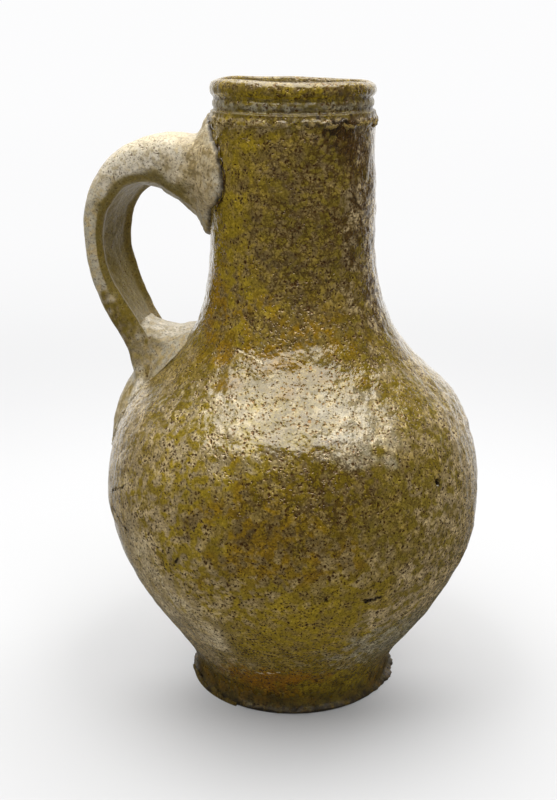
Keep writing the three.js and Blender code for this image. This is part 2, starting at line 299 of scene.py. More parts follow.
def speckle_group() -> Group:
    """Pinholes: dark dots of uneven size and shape, gathered in swarms and chains.

    Returns:
        The group.
    """
    group = Group("Pinholes", [("Vector", "Vector", None), ("Pitch", "Float", 1.1 * MM),
                               ("Size", "Float", 0.4), ("Seed", "Float", 0.0)], ["Mask", "Depth"])
    w, given = group.wiring, group.given
    moved = w.vector("ADD", given["Vector"], w.math("MULTIPLY", given["Seed"], 7.31))
    bent = w.add("ShaderNodeTexNoise", {"Vector": moved, "Scale": w.math("DIVIDE", 0.8, given["Pitch"]),
                                        "Detail": 1.0})
    shift = w.scaled(w.vector("SUBTRACT", bent.outputs["Color"], (0.5, 0.5, 0.5)),
                     w.math("MULTIPLY", given["Pitch"], 1.5))
    cells = w.add("ShaderNodeTexVoronoi", {"Vector": w.vector("ADD", moved, shift),
                                           "Scale": w.math("DIVIDE", 1.0, given["Pitch"])})
    draw = w.add("ShaderNodeSeparateColor", {0: cells.outputs["Color"]}).outputs[0]
    size = w.math("MULTIPLY", given["Size"], w.math("ADD", 0.45, w.math("MULTIPLY", draw, 0.8)))
    distance = cells.outputs["Distance"]
    w.feed(group.result["Mask"], w.step(distance, size, w.math("MULTIPLY", size, 0.6)))
    w.feed(group.result["Depth"], w.step(distance, w.math("MULTIPLY", size, 1.5), 0.0))
    return group


def islands_group() -> Group:
    """Islands of thick glaze that run softly into the thin glaze between them.

    Returns:
        The group.
    """
    group = Group("Glaze islands", [("Vector", "Vector", None), ("Pitch", "Float", 3 * MM),
                                    ("Coverage", "Float", 0.5), ("Softness", "Float", 0.1),
                                    ("Seed", "Float", 0.0)], ["Mask"])
    w, given = group.wiring, group.given
    lumps = w.add("ShaderNodeTexNoise", {
        "Vector": w.vector("ADD", given["Vector"], given["Seed"]), "Detail": 1.6, "Roughness": 0.45,
        "Distortion": 0.4, "Scale": w.math("DIVIDE", 1.0, given["Pitch"])}).outputs[0]
    edge = w.math("SUBTRACT", 0.62, w.math("MULTIPLY", given["Coverage"], 0.24))
    low, high = (w.math(way, edge, given["Softness"]) for way in ("SUBTRACT", "ADD"))
    w.feed(group.result["Mask"], w.step(lumps, low, high))
    return group


def vein_group() -> Group:
    """Brown veins that part the glaze into small grey-green flakes.

    Returns:
        The group.
    """
    group = Group("Brown veins", [("Vector", "Vector", None), ("Pitch", "Float", 2.6 * MM),
                                  ("Width", "Float", 0.17), ("Seed", "Float", 0.0)], ["Mask"])
    w, given = group.wiring, group.given
    moved = w.vector("ADD", given["Vector"], given["Seed"])
    bent = w.add("ShaderNodeTexNoise", {"Vector": moved, "Scale": w.math("DIVIDE", 1.3, given["Pitch"]),
                                        "Detail": 2.0, "Roughness": 0.6})
    shift = w.scaled(w.vector("SUBTRACT", bent.outputs["Color"], (0.5, 0.5, 0.5)),
                     w.math("MULTIPLY", given["Pitch"], 1.7))
    cells = w.add("ShaderNodeTexVoronoi", {"Vector": w.vector("ADD", moved, shift),
                                           "Scale": w.math("DIVIDE", 1.0, given["Pitch"])},
                  feature="DISTANCE_TO_EDGE")
    width = w.math("MULTIPLY", given["Width"], w.math("MULTIPLY", bent.outputs[0], 2.0))
    w.feed(group.result["Mask"], w.step(cells.outputs["Distance"], width, 0.0))
    return group


def grain_group() -> Group:
    """The fine grain of the fired surface: a factor about 1 for its colour, pale flecks and dark pits.

    Returns:
        The group.
    """
    group = Group("Fired grain", [("Vector", "Vector", None), ("Pitch", "Float", 0.28 * MM),
                                  ("Contrast", "Float", 1.0), ("Seed", "Float", 0.0)],
                  ["Factor", "Flecks", "Pits"])
    w, given = group.wiring, group.given
    moved = w.vector("ADD", given["Vector"], given["Seed"])
    fine = w.add("ShaderNodeTexNoise", {"Vector": moved, "Detail": 3.0, "Roughness": 0.7,
                                        "Scale": w.math("DIVIDE", 0.4, given["Pitch"])}).outputs[0]
    uneven = w.math("MULTIPLY", w.math("SUBTRACT", fine, 0.5), given["Contrast"])
    w.feed(group.result["Factor"], w.math("MAXIMUM", w.math("ADD", 1.0, uneven), 0.25))
    w.feed(group.result["Flecks"], w.step(fine, 0.58, 0.7))
    w.feed(group.result["Pits"], w.step(fine, 0.42, 0.34))
    return group


def peel_group() -> Group:
    """The orange-peel relief of a salt glaze, as a height from 0 to 1.

    Returns:
        The group.
    """
    group = Group("Orange peel", [("Vector", "Vector", None), ("Pitch", "Float", 1.9 * MM),
                                  ("Seed", "Float", 0.0)], ["Height"])
    w, given = group.wiring, group.given
    moved = w.vector("ADD", given["Vector"], given["Seed"])
    dimples = w.add("ShaderNodeTexNoise", {"Vector": moved, "Detail": 0.7, "Roughness": 0.45,
                                           "Scale": w.math("DIVIDE", 1.0, given["Pitch"])})
    broad = w.add("ShaderNodeTexNoise", {"Vector": moved, "Detail": 0.0,
                                         "Scale": w.math("DIVIDE", 0.36, given["Pitch"])})
    swells = w.math("MULTIPLY", broad.outputs[0], 1.3)
    w.feed(group.result["Height"], w.math("ADD", dimples.outputs[0], swells))
    return group


@dataclass
class Effects:
    """The shader groups that all the finishes share."""

    pinholes: Group = field(default_factory=speckle_group)
    islands: Group = field(default_factory=islands_group)
    veins: Group = field(default_factory=vein_group)
    grain: Group = field(default_factory=grain_group)
    peel: Group = field(default_factory=peel_group)


class Tint(Enum):
    """The glaze and clay colours of the jug, as seen on a screen."""

    ASH = (136, 115, 48)
    CREAM = (190, 174, 138)
    FLECK = (160, 139, 78)
    MILK = (222, 211, 190)
    STONE = (166, 157, 135)
    DUN = (174, 154, 112)
    TAUPE = (119, 100, 56)
    SLATE = (152, 144, 116)
    OLIVE = (106, 88, 8)
    MOSS = (112, 96, 26)
    YELLOW = (137, 116, 22)
    AMBER = (132, 99, 6)
    RUST = (142, 96, 6)
    BROWN = (62, 42, 8)
    UMBER = (96, 62, 20)
    # Near-black: a real smoke stain and dark crust grains at the foot, and painted shade in deep gouges, in
    # the crack at the root, along the root's slip bead and at the foot's lower edge.
    SOOT_AND_SHADE = (30, 17, 4)

    @property
    def colour(self) -> np.ndarray:
        """The linear colour."""
        return np.array(linear(*self.value)[:3])


@dataclass(frozen=True)
class Patch:
    """A patch of a piece where the kiln left another glaze.

    Attributes:
        at: Its middle, in millimetres, or None for a ring round the pot at the height.
        across: Its half width.
        up: Its half height.
        height: The height of a ring's middle.
        thin: Tint of the thin glaze there.
        thick: Tint of the islands there.
        cover: Share of the surface under islands.
        dots: Strength of the pinholes.
        veins: Strength of the brown veins.
        dry: How dull the glaze is.
        strength: How much of all this shows.
        wander: How far the patch's edge strays.
        soft: How softly it ends.
    """

    at: tuple[float, float, float] | None = None
    across: float = 10.0
    up: float = 10.0
    height: float = 0.0
    thin: Tint | None = None
    thick: Tint | None = None
    cover: float | None = None
    dots: float | None = None
    veins: float | None = None
    dry: float | None = None
    strength: float = 1.0
    wander: float = 0.3
    soft: float = 0.5

    def weight(self, points: np.ndarray) -> np.ndarray:
        """How much of the patch each point shows.

        Args:
            points: Places in millimetres, a row each.

        Returns:
            Shares from 0 to 1.
        """
        if self.at is None:
            away = np.abs(points[:, 2] - self.height) / self.up
        else:
            aside = points - np.array(self.at)
            level = (aside[:, 0] ** 2 + aside[:, 1] ** 2) / self.across**2
            away = np.sqrt(level + (aside[:, 2] / self.up) ** 2)
        size = max(2.5, 0.55 * min(self.across, self.up))
        away = away + self.wander * stray(points, size, int(1000 + self.up * 7 + self.across * 13))
        return self.strength * (1 - smooth(away, 1 - self.soft, 1 + self.soft))


@dataclass
class Coat:
    """The coat of glaze that the kiln left on one piece, patch by patch.

    Attributes:
        thin: Tint of the thin glaze.
        thick: Tint of the islands of thick glaze.
        cover: Share of the surface under islands.
        dots: Strength of the pinholes.
        veins: Strength of the brown veins.
        dry: How dull the glaze is.
        patches: Where it differs, the later over the earlier.
    """

    thin: Tint = Tint.ASH
    thick: Tint = Tint.OLIVE
    cover: float = 0.5
    dots: float = 1.0
    veins: float = 0.35
    dry: float = 0.0
    patches: tuple[Patch, ...] = ()

    def paint(self, piece: bpy.types.Object, masks: Sequence[tuple[np.ndarray, Patch]] = ()) -> None:
        """Keeps the coat in the piece's mesh, for its material to read.

        Args:
            piece: The piece.
            masks: More patches, each with its own weight for each vertex.
        """
        points = places(piece)
        count = len(points)
        tints = {name: np.tile(getattr(self, name).colour, (count, 1)) for name in ("thin", "thick")}
        values = {name: np.full(count, getattr(self, name)) for name in ("cover", "dots", "veins", "dry")}
        for weight, patch in [(p.weight(points), p) for p in self.patches] + list(masks):
            for name, given in tints.items():
                tint = getattr(patch, name)
                if tint is not None:
                    given += (tint.colour - given) * weight[:, None]
            for name, given in values.items():
                value = getattr(patch, name)
                if value is not None:
                    given += (value - given) * weight
        for name, given in tints.items():
            layer = piece.data.attributes.new(name, "FLOAT_COLOR", "POINT")
            colours = np.hstack([given, np.ones((count, 1))]).astype(np.float32)
            layer.data.foreach_set("color", colours.ravel())
        for name, given in values.items():
            mark(piece, name, given)


@dataclass(frozen=True)
class SaltGlaze:
    """A salt glaze over the coat that a piece carries.

    Attributes:
        name: The material's name.
        island: Pitch of the islands in millimetres.
        softness: How softly they end.
        pinhole: Pitch of the pinholes in millimetres.
        pinhole_size: Size of the pinholes within their cells.
        vein: Pitch of the flakes between the veins in millimetres.
        grain: Contrast of the fine grain.
        mottle: Contrast of the broad light and dark clouds.
        gloss: Roughness of the thick glaze.
        matt: Roughness of the thin glaze between.
        relief: Height of the orange peel in millimetres.
        specular: How much the glaze mirrors.
        iron: How metallic the brown iron spots are.
        stain: How brown the dark clouds are.
        seed: Start of the random draws.
    """

    name: str
    island: float = 2.7
    softness: float = 0.11
    pinhole: float = 1.05
    pinhole_size: float = 0.42
    vein: float = 2.9
    grain: float = 2.4
    mottle: float = 0.9
    gloss: float = 0.13
    matt: float = 0.19
    relief: float = 0.3
    specular: float = 0.85
    iron: float = 0.75
    stain: float = 0.25
    seed: float = 0.0

    def make(self, kit: Effects) -> bpy.types.Material:
        """Builds the material.

        Args:
            kit: The shared effects.

        Returns:
            The finished material.
        """
        material = bpy.data.materials.new(self.name)
        w = emptied(material)
        place = w.add("ShaderNodeTexCoord").outputs["Object"]
        coat = {name: w.add("ShaderNodeAttribute", attribute_name=name).outputs
                for name in ("thin", "thick", "cover", "dots", "veins", "dry")}
        brown, umber, fleck = (linear(*tint.value) for tint in (Tint.BROWN, Tint.UMBER, Tint.FLECK))

        cloud = w.noise(place, 6 * MM, self.seed + 3.0, 2.0)
        islands = kit.islands.place(w, vector=place, pitch=self.island * MM, coverage=coat["cover"]["Fac"],
                                    softness=self.softness, seed=self.seed)["Mask"]
        grain = kit.grain.place(w, vector=place, contrast=self.grain, seed=self.seed)
        veins = kit.veins.place(w, vector=place, pitch=self.vein * MM, seed=self.seed)["Mask"]
        size = w.math("ADD", self.pinhole_size, w.math("MULTIPLY", w.math("SUBTRACT", cloud, 0.5), 0.55))
        size = w.math("SUBTRACT", size, w.math("MULTIPLY", islands, 0.14))
        specks = kit.pinholes.place(w, vector=place, pitch=self.pinhole * MM, size=size, seed=self.seed)

        thin = w.blend(w.step(cloud, 0.62, 0.38, self.stain), coat["thin"]["Color"], brown)
        colour = w.blend(w.math("MULTIPLY", islands, 0.95), thin, coat["thick"]["Color"])
        bare = w.math("SUBTRACT", 1.0, w.math("MULTIPLY", islands, 0.6))
        colour = w.blend(w.math("MULTIPLY", grain["Flecks"], w.math("MULTIPLY", bare, 0.45)), colour, fleck)
        pits = w.math("MULTIPLY", grain["Pits"], w.math("MULTIPLY", bare, 0.85))
        pits = w.math("MULTIPLY", pits, coat["dots"]["Fac"])
        colour = w.blend(pits, colour, brown)
        shade = w.math("ADD", 1 - self.mottle / 2, w.math("MULTIPLY", cloud, self.mottle))
        toned = w.scaled(colour, w.math("MULTIPLY", grain["Factor"], shade))
        line = w.math("MULTIPLY", veins, w.math("MULTIPLY", coat["veins"]["Fac"], w.step(cloud, 0.28, 0.5)))
        colour = w.blend(line, toned, brown)
        dots = w.math("MULTIPLY", specks["Mask"], w.math("MULTIPLY", coat["dots"]["Fac"], 0.85))
        colour = w.blend(dots, colour, umber)

        peel = kit.peel.place(w, vector=place, seed=self.seed)["Height"]
        height = w.math("SUBTRACT", peel, w.math("MULTIPLY", specks["Depth"], 0.5))
        height = w.math("ADD", height, w.math("MULTIPLY", grain["Factor"], 0.06))
        bump = w.add("ShaderNodeBump", {"Height": height, "Distance": self.relief * MM, "Strength": 1.0})
        rough = w.math("ADD", self.matt, w.math("MULTIPLY", islands, self.gloss - self.matt))
        rough = w.math("ADD", rough, w.math("MULTIPLY", coat["dry"]["Fac"], 0.45))
        iron = w.math("MULTIPLY", w.math("MAXIMUM", dots, w.math("MULTIPLY", pits, 0.6)), self.iron)
        shader = w.add("ShaderNodeBsdfPrincipled", {
            "Base Color": colour, "Roughness": rough, "Metallic": iron, "Normal": bump.outputs["Normal"],
            "Specular IOR Level": self.specular, "Specular Tint": (1.0, 0.95, 0.84, 1.0)})
        w.add("ShaderNodeOutputMaterial", {"Surface": shader.outputs["BSDF"]})
        return material


class ShapeTree:
    """A Geometry Nodes tree with named inputs, which ends in real mesh with its material set."""

    def __init__(self, name: str, inputs: Sequence[tuple]) -> None:
        """Makes the tree's sockets.

        Args:
            name: The tree's name.
            inputs: Each input's name, its kind and its default.
        """
        self.tree = bpy.data.node_groups.new(name, "GeometryNodeTree")
        face = self.tree.interface
        face.new_socket("Geometry", in_out="INPUT", socket_type="NodeSocketGeometry")
        face.new_socket("Geometry", in_out="OUTPUT", socket_type="NodeSocketGeometry")
        self.keys: dict[str, str] = {}
        for socket, kind, default in [*inputs, ("Finish", "Material", None)]:
            made = face.new_socket(socket, in_out="INPUT", socket_type=f"NodeSocket{kind}")
            if default is not None:
                made.default_value = default
            self.keys[socket] = made.identifier
        self.wiring = Wiring(self.tree)
        self.given = self.tree.nodes.new("NodeGroupInput").outputs
        self.result = self.tree.nodes.new("NodeGroupOutput").inputs

    def close(self, geometry: bpy.types.NodeSocket) -> None:
        """Ends the tree: real mesh, smooth faces, the finish.

        Args:
            geometry: What the tree has made.
        """
        w = self.wiring
        real = w.add("GeometryNodeRealizeInstances", {"Geometry": geometry}).outputs[0]
        soft = w.add("GeometryNodeSetShadeSmooth", {"Geometry": real}).outputs[0]
        done = w.add("GeometryNodeSetMaterial", {"Geometry": soft, "Material": self.given["Finish"]})
        w.feed(self.result["Geometry"], done.outputs[0])

    def run(self, piece: bpy.types.Object, values: dict[str, object]) -> bpy.types.Object:
        """Runs the tree on a piece and keeps the result as its plain mesh.

        Args:
            piece: The object to work on.
            values: The tree's inputs by name.

        Returns:
            The same object with its new mesh and no modifier.
        """
        modifier = piece.modifiers.new("Shape", "NODES")
        modifier.node_group = self.tree
        for name, value in values.items():
            modifier[self.keys[name]] = value
        graph = bpy.context.evaluated_depsgraph_get()
        mesh = bpy.data.meshes.new_from_object(piece.evaluated_get(graph), depsgraph=graph)
        piece.modifiers.remove(modifier)
        piece.data = mesh
        mesh.name = piece.name
        return piece


def wheel_tree() -> ShapeTree:
    """Turns an outline in the xz plane about the upright axis, as a potter's wheel does.

    Returns:
        The tree.
    """
    shape = ShapeTree("Turned on the wheel", [("Turns", "Int", 288)])
    w, given = shape.wiring, shape.given
    count = w.add("GeometryNodeAttributeDomainSize", {"Geometry": given["Geometry"]}).outputs["Point Count"]
    columns = w.math("ADD", given["Turns"], 1)
    grid = w.add("GeometryNodeMeshGrid", {"Size X": 1.0, "Size Y": 1.0, "Vertices X": columns,
                                          "Vertices Y": count}).outputs["Mesh"]
    at = w.add("ShaderNodeSeparateXYZ", {0: w.add("GeometryNodeInputPosition").outputs[0]}).outputs
    ring = w.math("ROUND", w.math("MULTIPLY", w.math("ADD", at["Y"], 0.5), w.math("SUBTRACT", count, 1)))
    angle = w.math("MULTIPLY", w.math("ADD", at["X"], 0.5), 2 * math.pi)
    outline = w.add("GeometryNodeSampleIndex", {"Geometry": given["Geometry"], "Index": ring},
                    data_type="FLOAT_VECTOR")
    w.feed(outline.inputs["Value"], w.add("GeometryNodeInputPosition").outputs[0])
    place = w.add("ShaderNodeSeparateXYZ", {0: outline.outputs[0]}).outputs
    turned = w.add("ShaderNodeCombineXYZ", {
        "X": w.math("MULTIPLY", place["X"], w.math("COSINE", angle)),
        "Y": w.math("MULTIPLY", place["X"], w.math("SINE", angle)),
        "Z": place["Z"],
    }).outputs[0]
    moved = w.add("GeometryNodeSetPosition", {"Geometry": grid, "Position": turned}).outputs[0]
    shape.close(w.add("GeometryNodeMergeByDistance", {"Geometry": moved, "Distance": 2e-7}).outputs[0])
    return shape


def clay_tree() -> ShapeTree:
    """Moves a surface along its normals as hand-worked clay strays: lumps, dimples and throwing rings.

    The mesh's attribute "worked" says how much, 0 to 1, each vertex may move.

    Returns:
        The tree.
    """
    shape = ShapeTree("Hand-worked clay", [
        ("Lump Size", "Float", 14 * MM), ("Lump Depth", "Float", 0.3 * MM), ("Dimple Size", "Float", 4 * MM),
        ("Dimple Depth", "Float", 0.1 * MM), ("Ring Pitch", "Float", 5 * MM), ("Ring Depth", "Float", 0.0),
        ("Seed", "Float", 0.0)])
    w, given = shape.wiring, shape.given
    place = w.add("GeometryNodeInputPosition").outputs[0]

    def uneven(size: object, depth: object, salt: float) -> bpy.types.NodeSocket:
        """Noise of one size, from minus its depth to nothing.

        Args:
            size: The size of its lumps.
            depth: How deep they go.
            salt: What is added to the tree's seed.

        Returns:
            The noise.
        """
        soft = w.add("ShaderNodeTexNoise", {
            "Vector": place, "W": w.math("ADD", given["Seed"], salt), "Detail": 1.5,
            "Scale": w.math("DIVIDE", 1.0, size)}, noise_dimensions="4D").outputs[0]
        return w.math("MULTIPLY", w.math("SUBTRACT", w.step(soft, 0.25, 0.75), 1.0), depth)

    height = w.add("ShaderNodeSeparateXYZ", {0: place}).outputs["Z"]
    wobble = w.noise(place, 40 * MM, given["Seed"], 1.0)
    phase = w.math("ADD", w.math("DIVIDE", height, given["Ring Pitch"]), w.math("MULTIPLY", wobble, 2.5))
    swing = w.math("SINE", w.math("MULTIPLY", phase, 2 * math.pi))
    wave = w.math("SUBTRACT", w.math("MULTIPLY", swing, 0.5), 0.5)
    total = w.math("ADD", uneven(given["Lump Size"], given["Lump Depth"], 1.0),
                   uneven(given["Dimple Size"], given["Dimple Depth"], 2.0))
    total = w.math("ADD", total, w.math("MULTIPLY", wave, given["Ring Depth"]))
    worked = w.add("GeometryNodeInputNamedAttribute", {"Name": "worked"}, data_type="FLOAT").outputs[0]
    away = w.scaled(w.add("GeometryNodeInputNormal").outputs[0], w.math("MULTIPLY", total, worked))
    shape.close(w.add("GeometryNodeSetPosition", {"Geometry": given["Geometry"], "Offset": away}).outputs[0])
    return shape


def crust_tree() -> ShapeTree:
    """Sets grains of crust along a path: small lumps of uneven size, some of them run together.

    Returns:
        The tree.
    """
    shape = ShapeTree("Crust", [("Spacing", "Float", 0.8 * MM), ("Grain", "Float", 0.5 * MM),
                                ("Spread", "Vector", (0.0003, 0.0003, 0.0006)), ("Share", "Float", 0.7),
                                ("Seed", "Int", 1)])
    w, given = shape.wiring, shape.given
    path = w.add("GeometryNodeMeshToCurve", {"Mesh": given["Geometry"]}).outputs[0]
    dots = w.add("GeometryNodeCurveToPoints", {"Curve": path, "Length": given["Spacing"]},
                 mode="LENGTH").outputs[0]
    least = w.vector("MULTIPLY", given["Spread"], (-1.0, -1.0, -1.0))
    jitter = w.add("FunctionNodeRandomValue", {0: least, 1: given["Spread"], "Seed": given["Seed"]},
                   data_type="FLOAT_VECTOR").outputs[0]
    dots = w.add("GeometryNodeSetPosition", {"Geometry": dots, "Offset": jitter}).outputs[0]
    drop = w.add("FunctionNodeRandomValue", {2: 0.0, 3: 1.0, "Seed": w.math("ADD", given["Seed"], 3)},
                 data_type="FLOAT").outputs[1]
    spare = w.math("GREATER_THAN", drop, given["Share"])
    dots = w.add("GeometryNodeDeleteGeometry", {"Geometry": dots, "Selection": spare},
                 domain="POINT").outputs[0]
    grain = w.add("GeometryNodeMeshIcoSphere", {"Radius": given["Grain"], "Subdivisions": 2}).outputs[0]
    size = w.add("FunctionNodeRandomValue", {
        0: (0.5, 0.5, 0.35), 1: (1.3, 1.3, 1.1), "Seed": w.math("ADD", given["Seed"], 7)},
        data_type="FLOAT_VECTOR")
    turn = w.add("FunctionNodeRandomValue", {
        0: (0, 0, 0), 1: (3, 3, 3), "Seed": w.math("ADD", given["Seed"], 9)}, data_type="FLOAT_VECTOR")
    grains = w.add("GeometryNodeInstanceOnPoints", {
        "Points": dots, "Instance": grain, "Scale": size.outputs[0], "Rotation": turn.outputs[0]})
    shape.close(grains.outputs[0])
    return shape


def bead_tree() -> ShapeTree:
    """Sweeps a lumpy bead of slip along a path; the attribute "girth" is its radius in metres.

    Returns:
        The tree.
    """
    shape = ShapeTree("Bead of slip", [("Sides", "Int", 10), ("Lump Size", "Float", 2 * MM),
                                       ("Lump Depth", "Float", 0.25 * MM), ("Seed", "Float", 0.0)])
    w, given = shape.wiring, shape.given
    path = w.add("GeometryNodeMeshToCurve", {"Mesh": given["Geometry"]}).outputs[0]
    ring = w.add("GeometryNodeCurvePrimitiveCircle", {"Resolution": given["Sides"], "Radius": 1.0}).outputs[0]
    girth = w.add("GeometryNodeInputNamedAttribute", {"Name": "girth"}, data_type="FLOAT").outputs[0]
    swept = w.add("GeometryNodeCurveToMesh", {"Curve": path, "Profile Curve": ring, "Scale": girth,
                                              "Fill Caps": True}).outputs[0]
    soft = w.add("ShaderNodeTexNoise", {
        "Vector": w.add("GeometryNodeInputPosition").outputs[0], "W": given["Seed"], "Detail": 2.0,
        "Scale": w.math("DIVIDE", 1.0, given["Lump Size"])}, noise_dimensions="4D").outputs[0]
    height = w.math("MULTIPLY", w.math("SUBTRACT", soft, 0.5), w.math("MULTIPLY", given["Lump Depth"], 2.0))
    away = w.scaled(w.add("GeometryNodeInputNormal").outputs[0], height)
    shape.close(w.add("GeometryNodeSetPosition", {"Geometry": swept, "Offset": away}).outputs[0])
    return shape


def piece_from(name: str, points: np.ndarray, faces: Sequence, edges: Sequence = ()) -> bpy.types.Object:
    """A mesh object at the origin.

    Args:
        name: The piece's name.
        points: Its vertices in millimetres.
        faces: Its faces as vertex numbers.
        edges: Loose edges as vertex numbers.

    Returns:
        The new object, linked to the scene.
    """
    mesh = bpy.data.meshes.new(name)
    mesh.from_pydata([tuple(p) for p in np.asarray(points, float) * MM], list(edges), list(faces))
    mesh.update()
    piece = bpy.data.objects.new(name, mesh)
    bpy.context.scene.collection.objects.link(piece)
    return piece


def places(piece: bpy.types.Object) -> np.ndarray:
    """Where the vertices of a piece are.

    Args:
        piece: The piece.

    Returns:
        Places in millimetres, a row each.
    """
    flat = np.empty(len(piece.data.vertices) * 3)
    piece.data.vertices.foreach_get("co", flat)
    return flat.reshape(-1, 3) / MM


def normals(piece: bpy.types.Object) -> np.ndarray:
    """Which way the skin of a piece faces.

    Args:
        piece: The piece.

    Returns:
        The vertex normals, a row each.
    """
    flat = np.empty(len(piece.data.vertices) * 3)
    piece.data.vertex_normals.foreach_get("vector", flat)
    return flat.reshape(-1, 3)


def put(piece: bpy.types.Object, points: np.ndarray) -> None:
    """Moves the vertices of a piece to these places in millimetres."""
    piece.data.vertices.foreach_set("co", (np.asarray(points) * MM).ravel())
    piece.data.update()


def mark(piece: bpy.types.Object, name: str, values: np.ndarray) -> None:
    """Keeps a value for each vertex under a name."""
    layer = piece.data.attributes.get(name) or piece.data.attributes.new(name, "FLOAT", "POINT")
    layer.data.foreach_set("value", np.asarray(values, np.float32))


def tidy(piece: bpy.types.Object, gap: float = 1e-4) -> None:
    """Merges doubles and turns the faces outwards.

    Args:
        piece: The piece.
        gap: Vertices closer than this, in millimetres, become one.
    """
    work = bmesh.new()
    work.from_mesh(piece.data)
    bmesh.ops.remove_doubles(work, verts=work.verts, dist=gap * MM)
    bmesh.ops.dissolve_degenerate(work, edges=work.edges, dist=gap * MM)
    bmesh.ops.recalc_face_normals(work, faces=work.faces)
    work.to_mesh(piece.data)
    work.free()
    piece.data.polygons.foreach_set("use_smooth", [True] * len(piece.data.polygons))
    piece.data.update()


def tube(name: str, points: np.ndarray, around: int) -> bpy.types.Object:
    """A closed skin over rings of points, with a cap at each end.

    Args:
        name: The piece's name.
        points: The rings' vertices in millimetres, ring after ring.
        around: How many vertices a ring has.

    Returns:
        The new object.
    """
    rings = len(points) // around
    faces = [(i * around + k, i * around + (k + 1) % around, (i + 1) * around + (k + 1) % around,
              (i + 1) * around + k) for i in range(rings - 1) for k in range(around)]
    faces += [tuple(range(around))[::-1], tuple((rings - 1) * around + k for k in range(around))]
    piece = piece_from(name, points, faces)
    tidy(piece)
    return piece


def dress(piece: bpy.types.Object, finish: bpy.types.Material, slot: str, *nodes: str) -> bpy.types.Object:
    """Gives a finished piece its material and its place in the frame.

    Args:
        piece: The piece.
        finish: Its material.
        slot: The record's material slot; not used.
        nodes: The frame's nodes that it stands for.

    Returns:
        The piece.
    """
    piece.data.materials.clear()
    piece.data.materials.append(finish)
    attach(piece, "root")
    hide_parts(*nodes)
    triangles = sum(len(p.vertices) - 2 for p in piece.data.polygons)
    LOG.info("%s: %d triangles", piece.name, triangles)
    return piece


def bezier(start: tuple, hold: tuple, hold_end: tuple, end: tuple, count: int) -> list[np.ndarray]:
    """Points along a cubic curve, without its first one.

    Args:
        start, hold, hold_end, end: Its four points.
        count: How many points are made.

    Returns:
        The points.
    """
    steps = np.linspace(0, 1, count + 1)[1:, None]
    a, b, c, d = (np.array(p, float) for p in (start, hold, hold_end, end))
    return list(a * (1 - steps) ** 3 + 3 * b * steps * (1 - steps) ** 2 + 3 * c * steps**2 * (1 - steps)
                + d * steps**3)


def spaced(points: Sequence, gap: float) -> np.ndarray:
    """Points along a line at even steps of about the given gap, both ends kept.

    Args:
        points: The line.
        gap: The length of a step.

    Returns:
        The points, a row each.
    """
    points = np.array(points, float)
    along = np.concatenate([[0], np.cumsum(np.linalg.norm(np.diff(points, axis=0), axis=1))])
    steps = np.linspace(0, along[-1], max(2, round(along[-1] / gap) + 1))
    return np.stack([np.interp(steps, along, points[:, k]) for k in range(2)], axis=1)


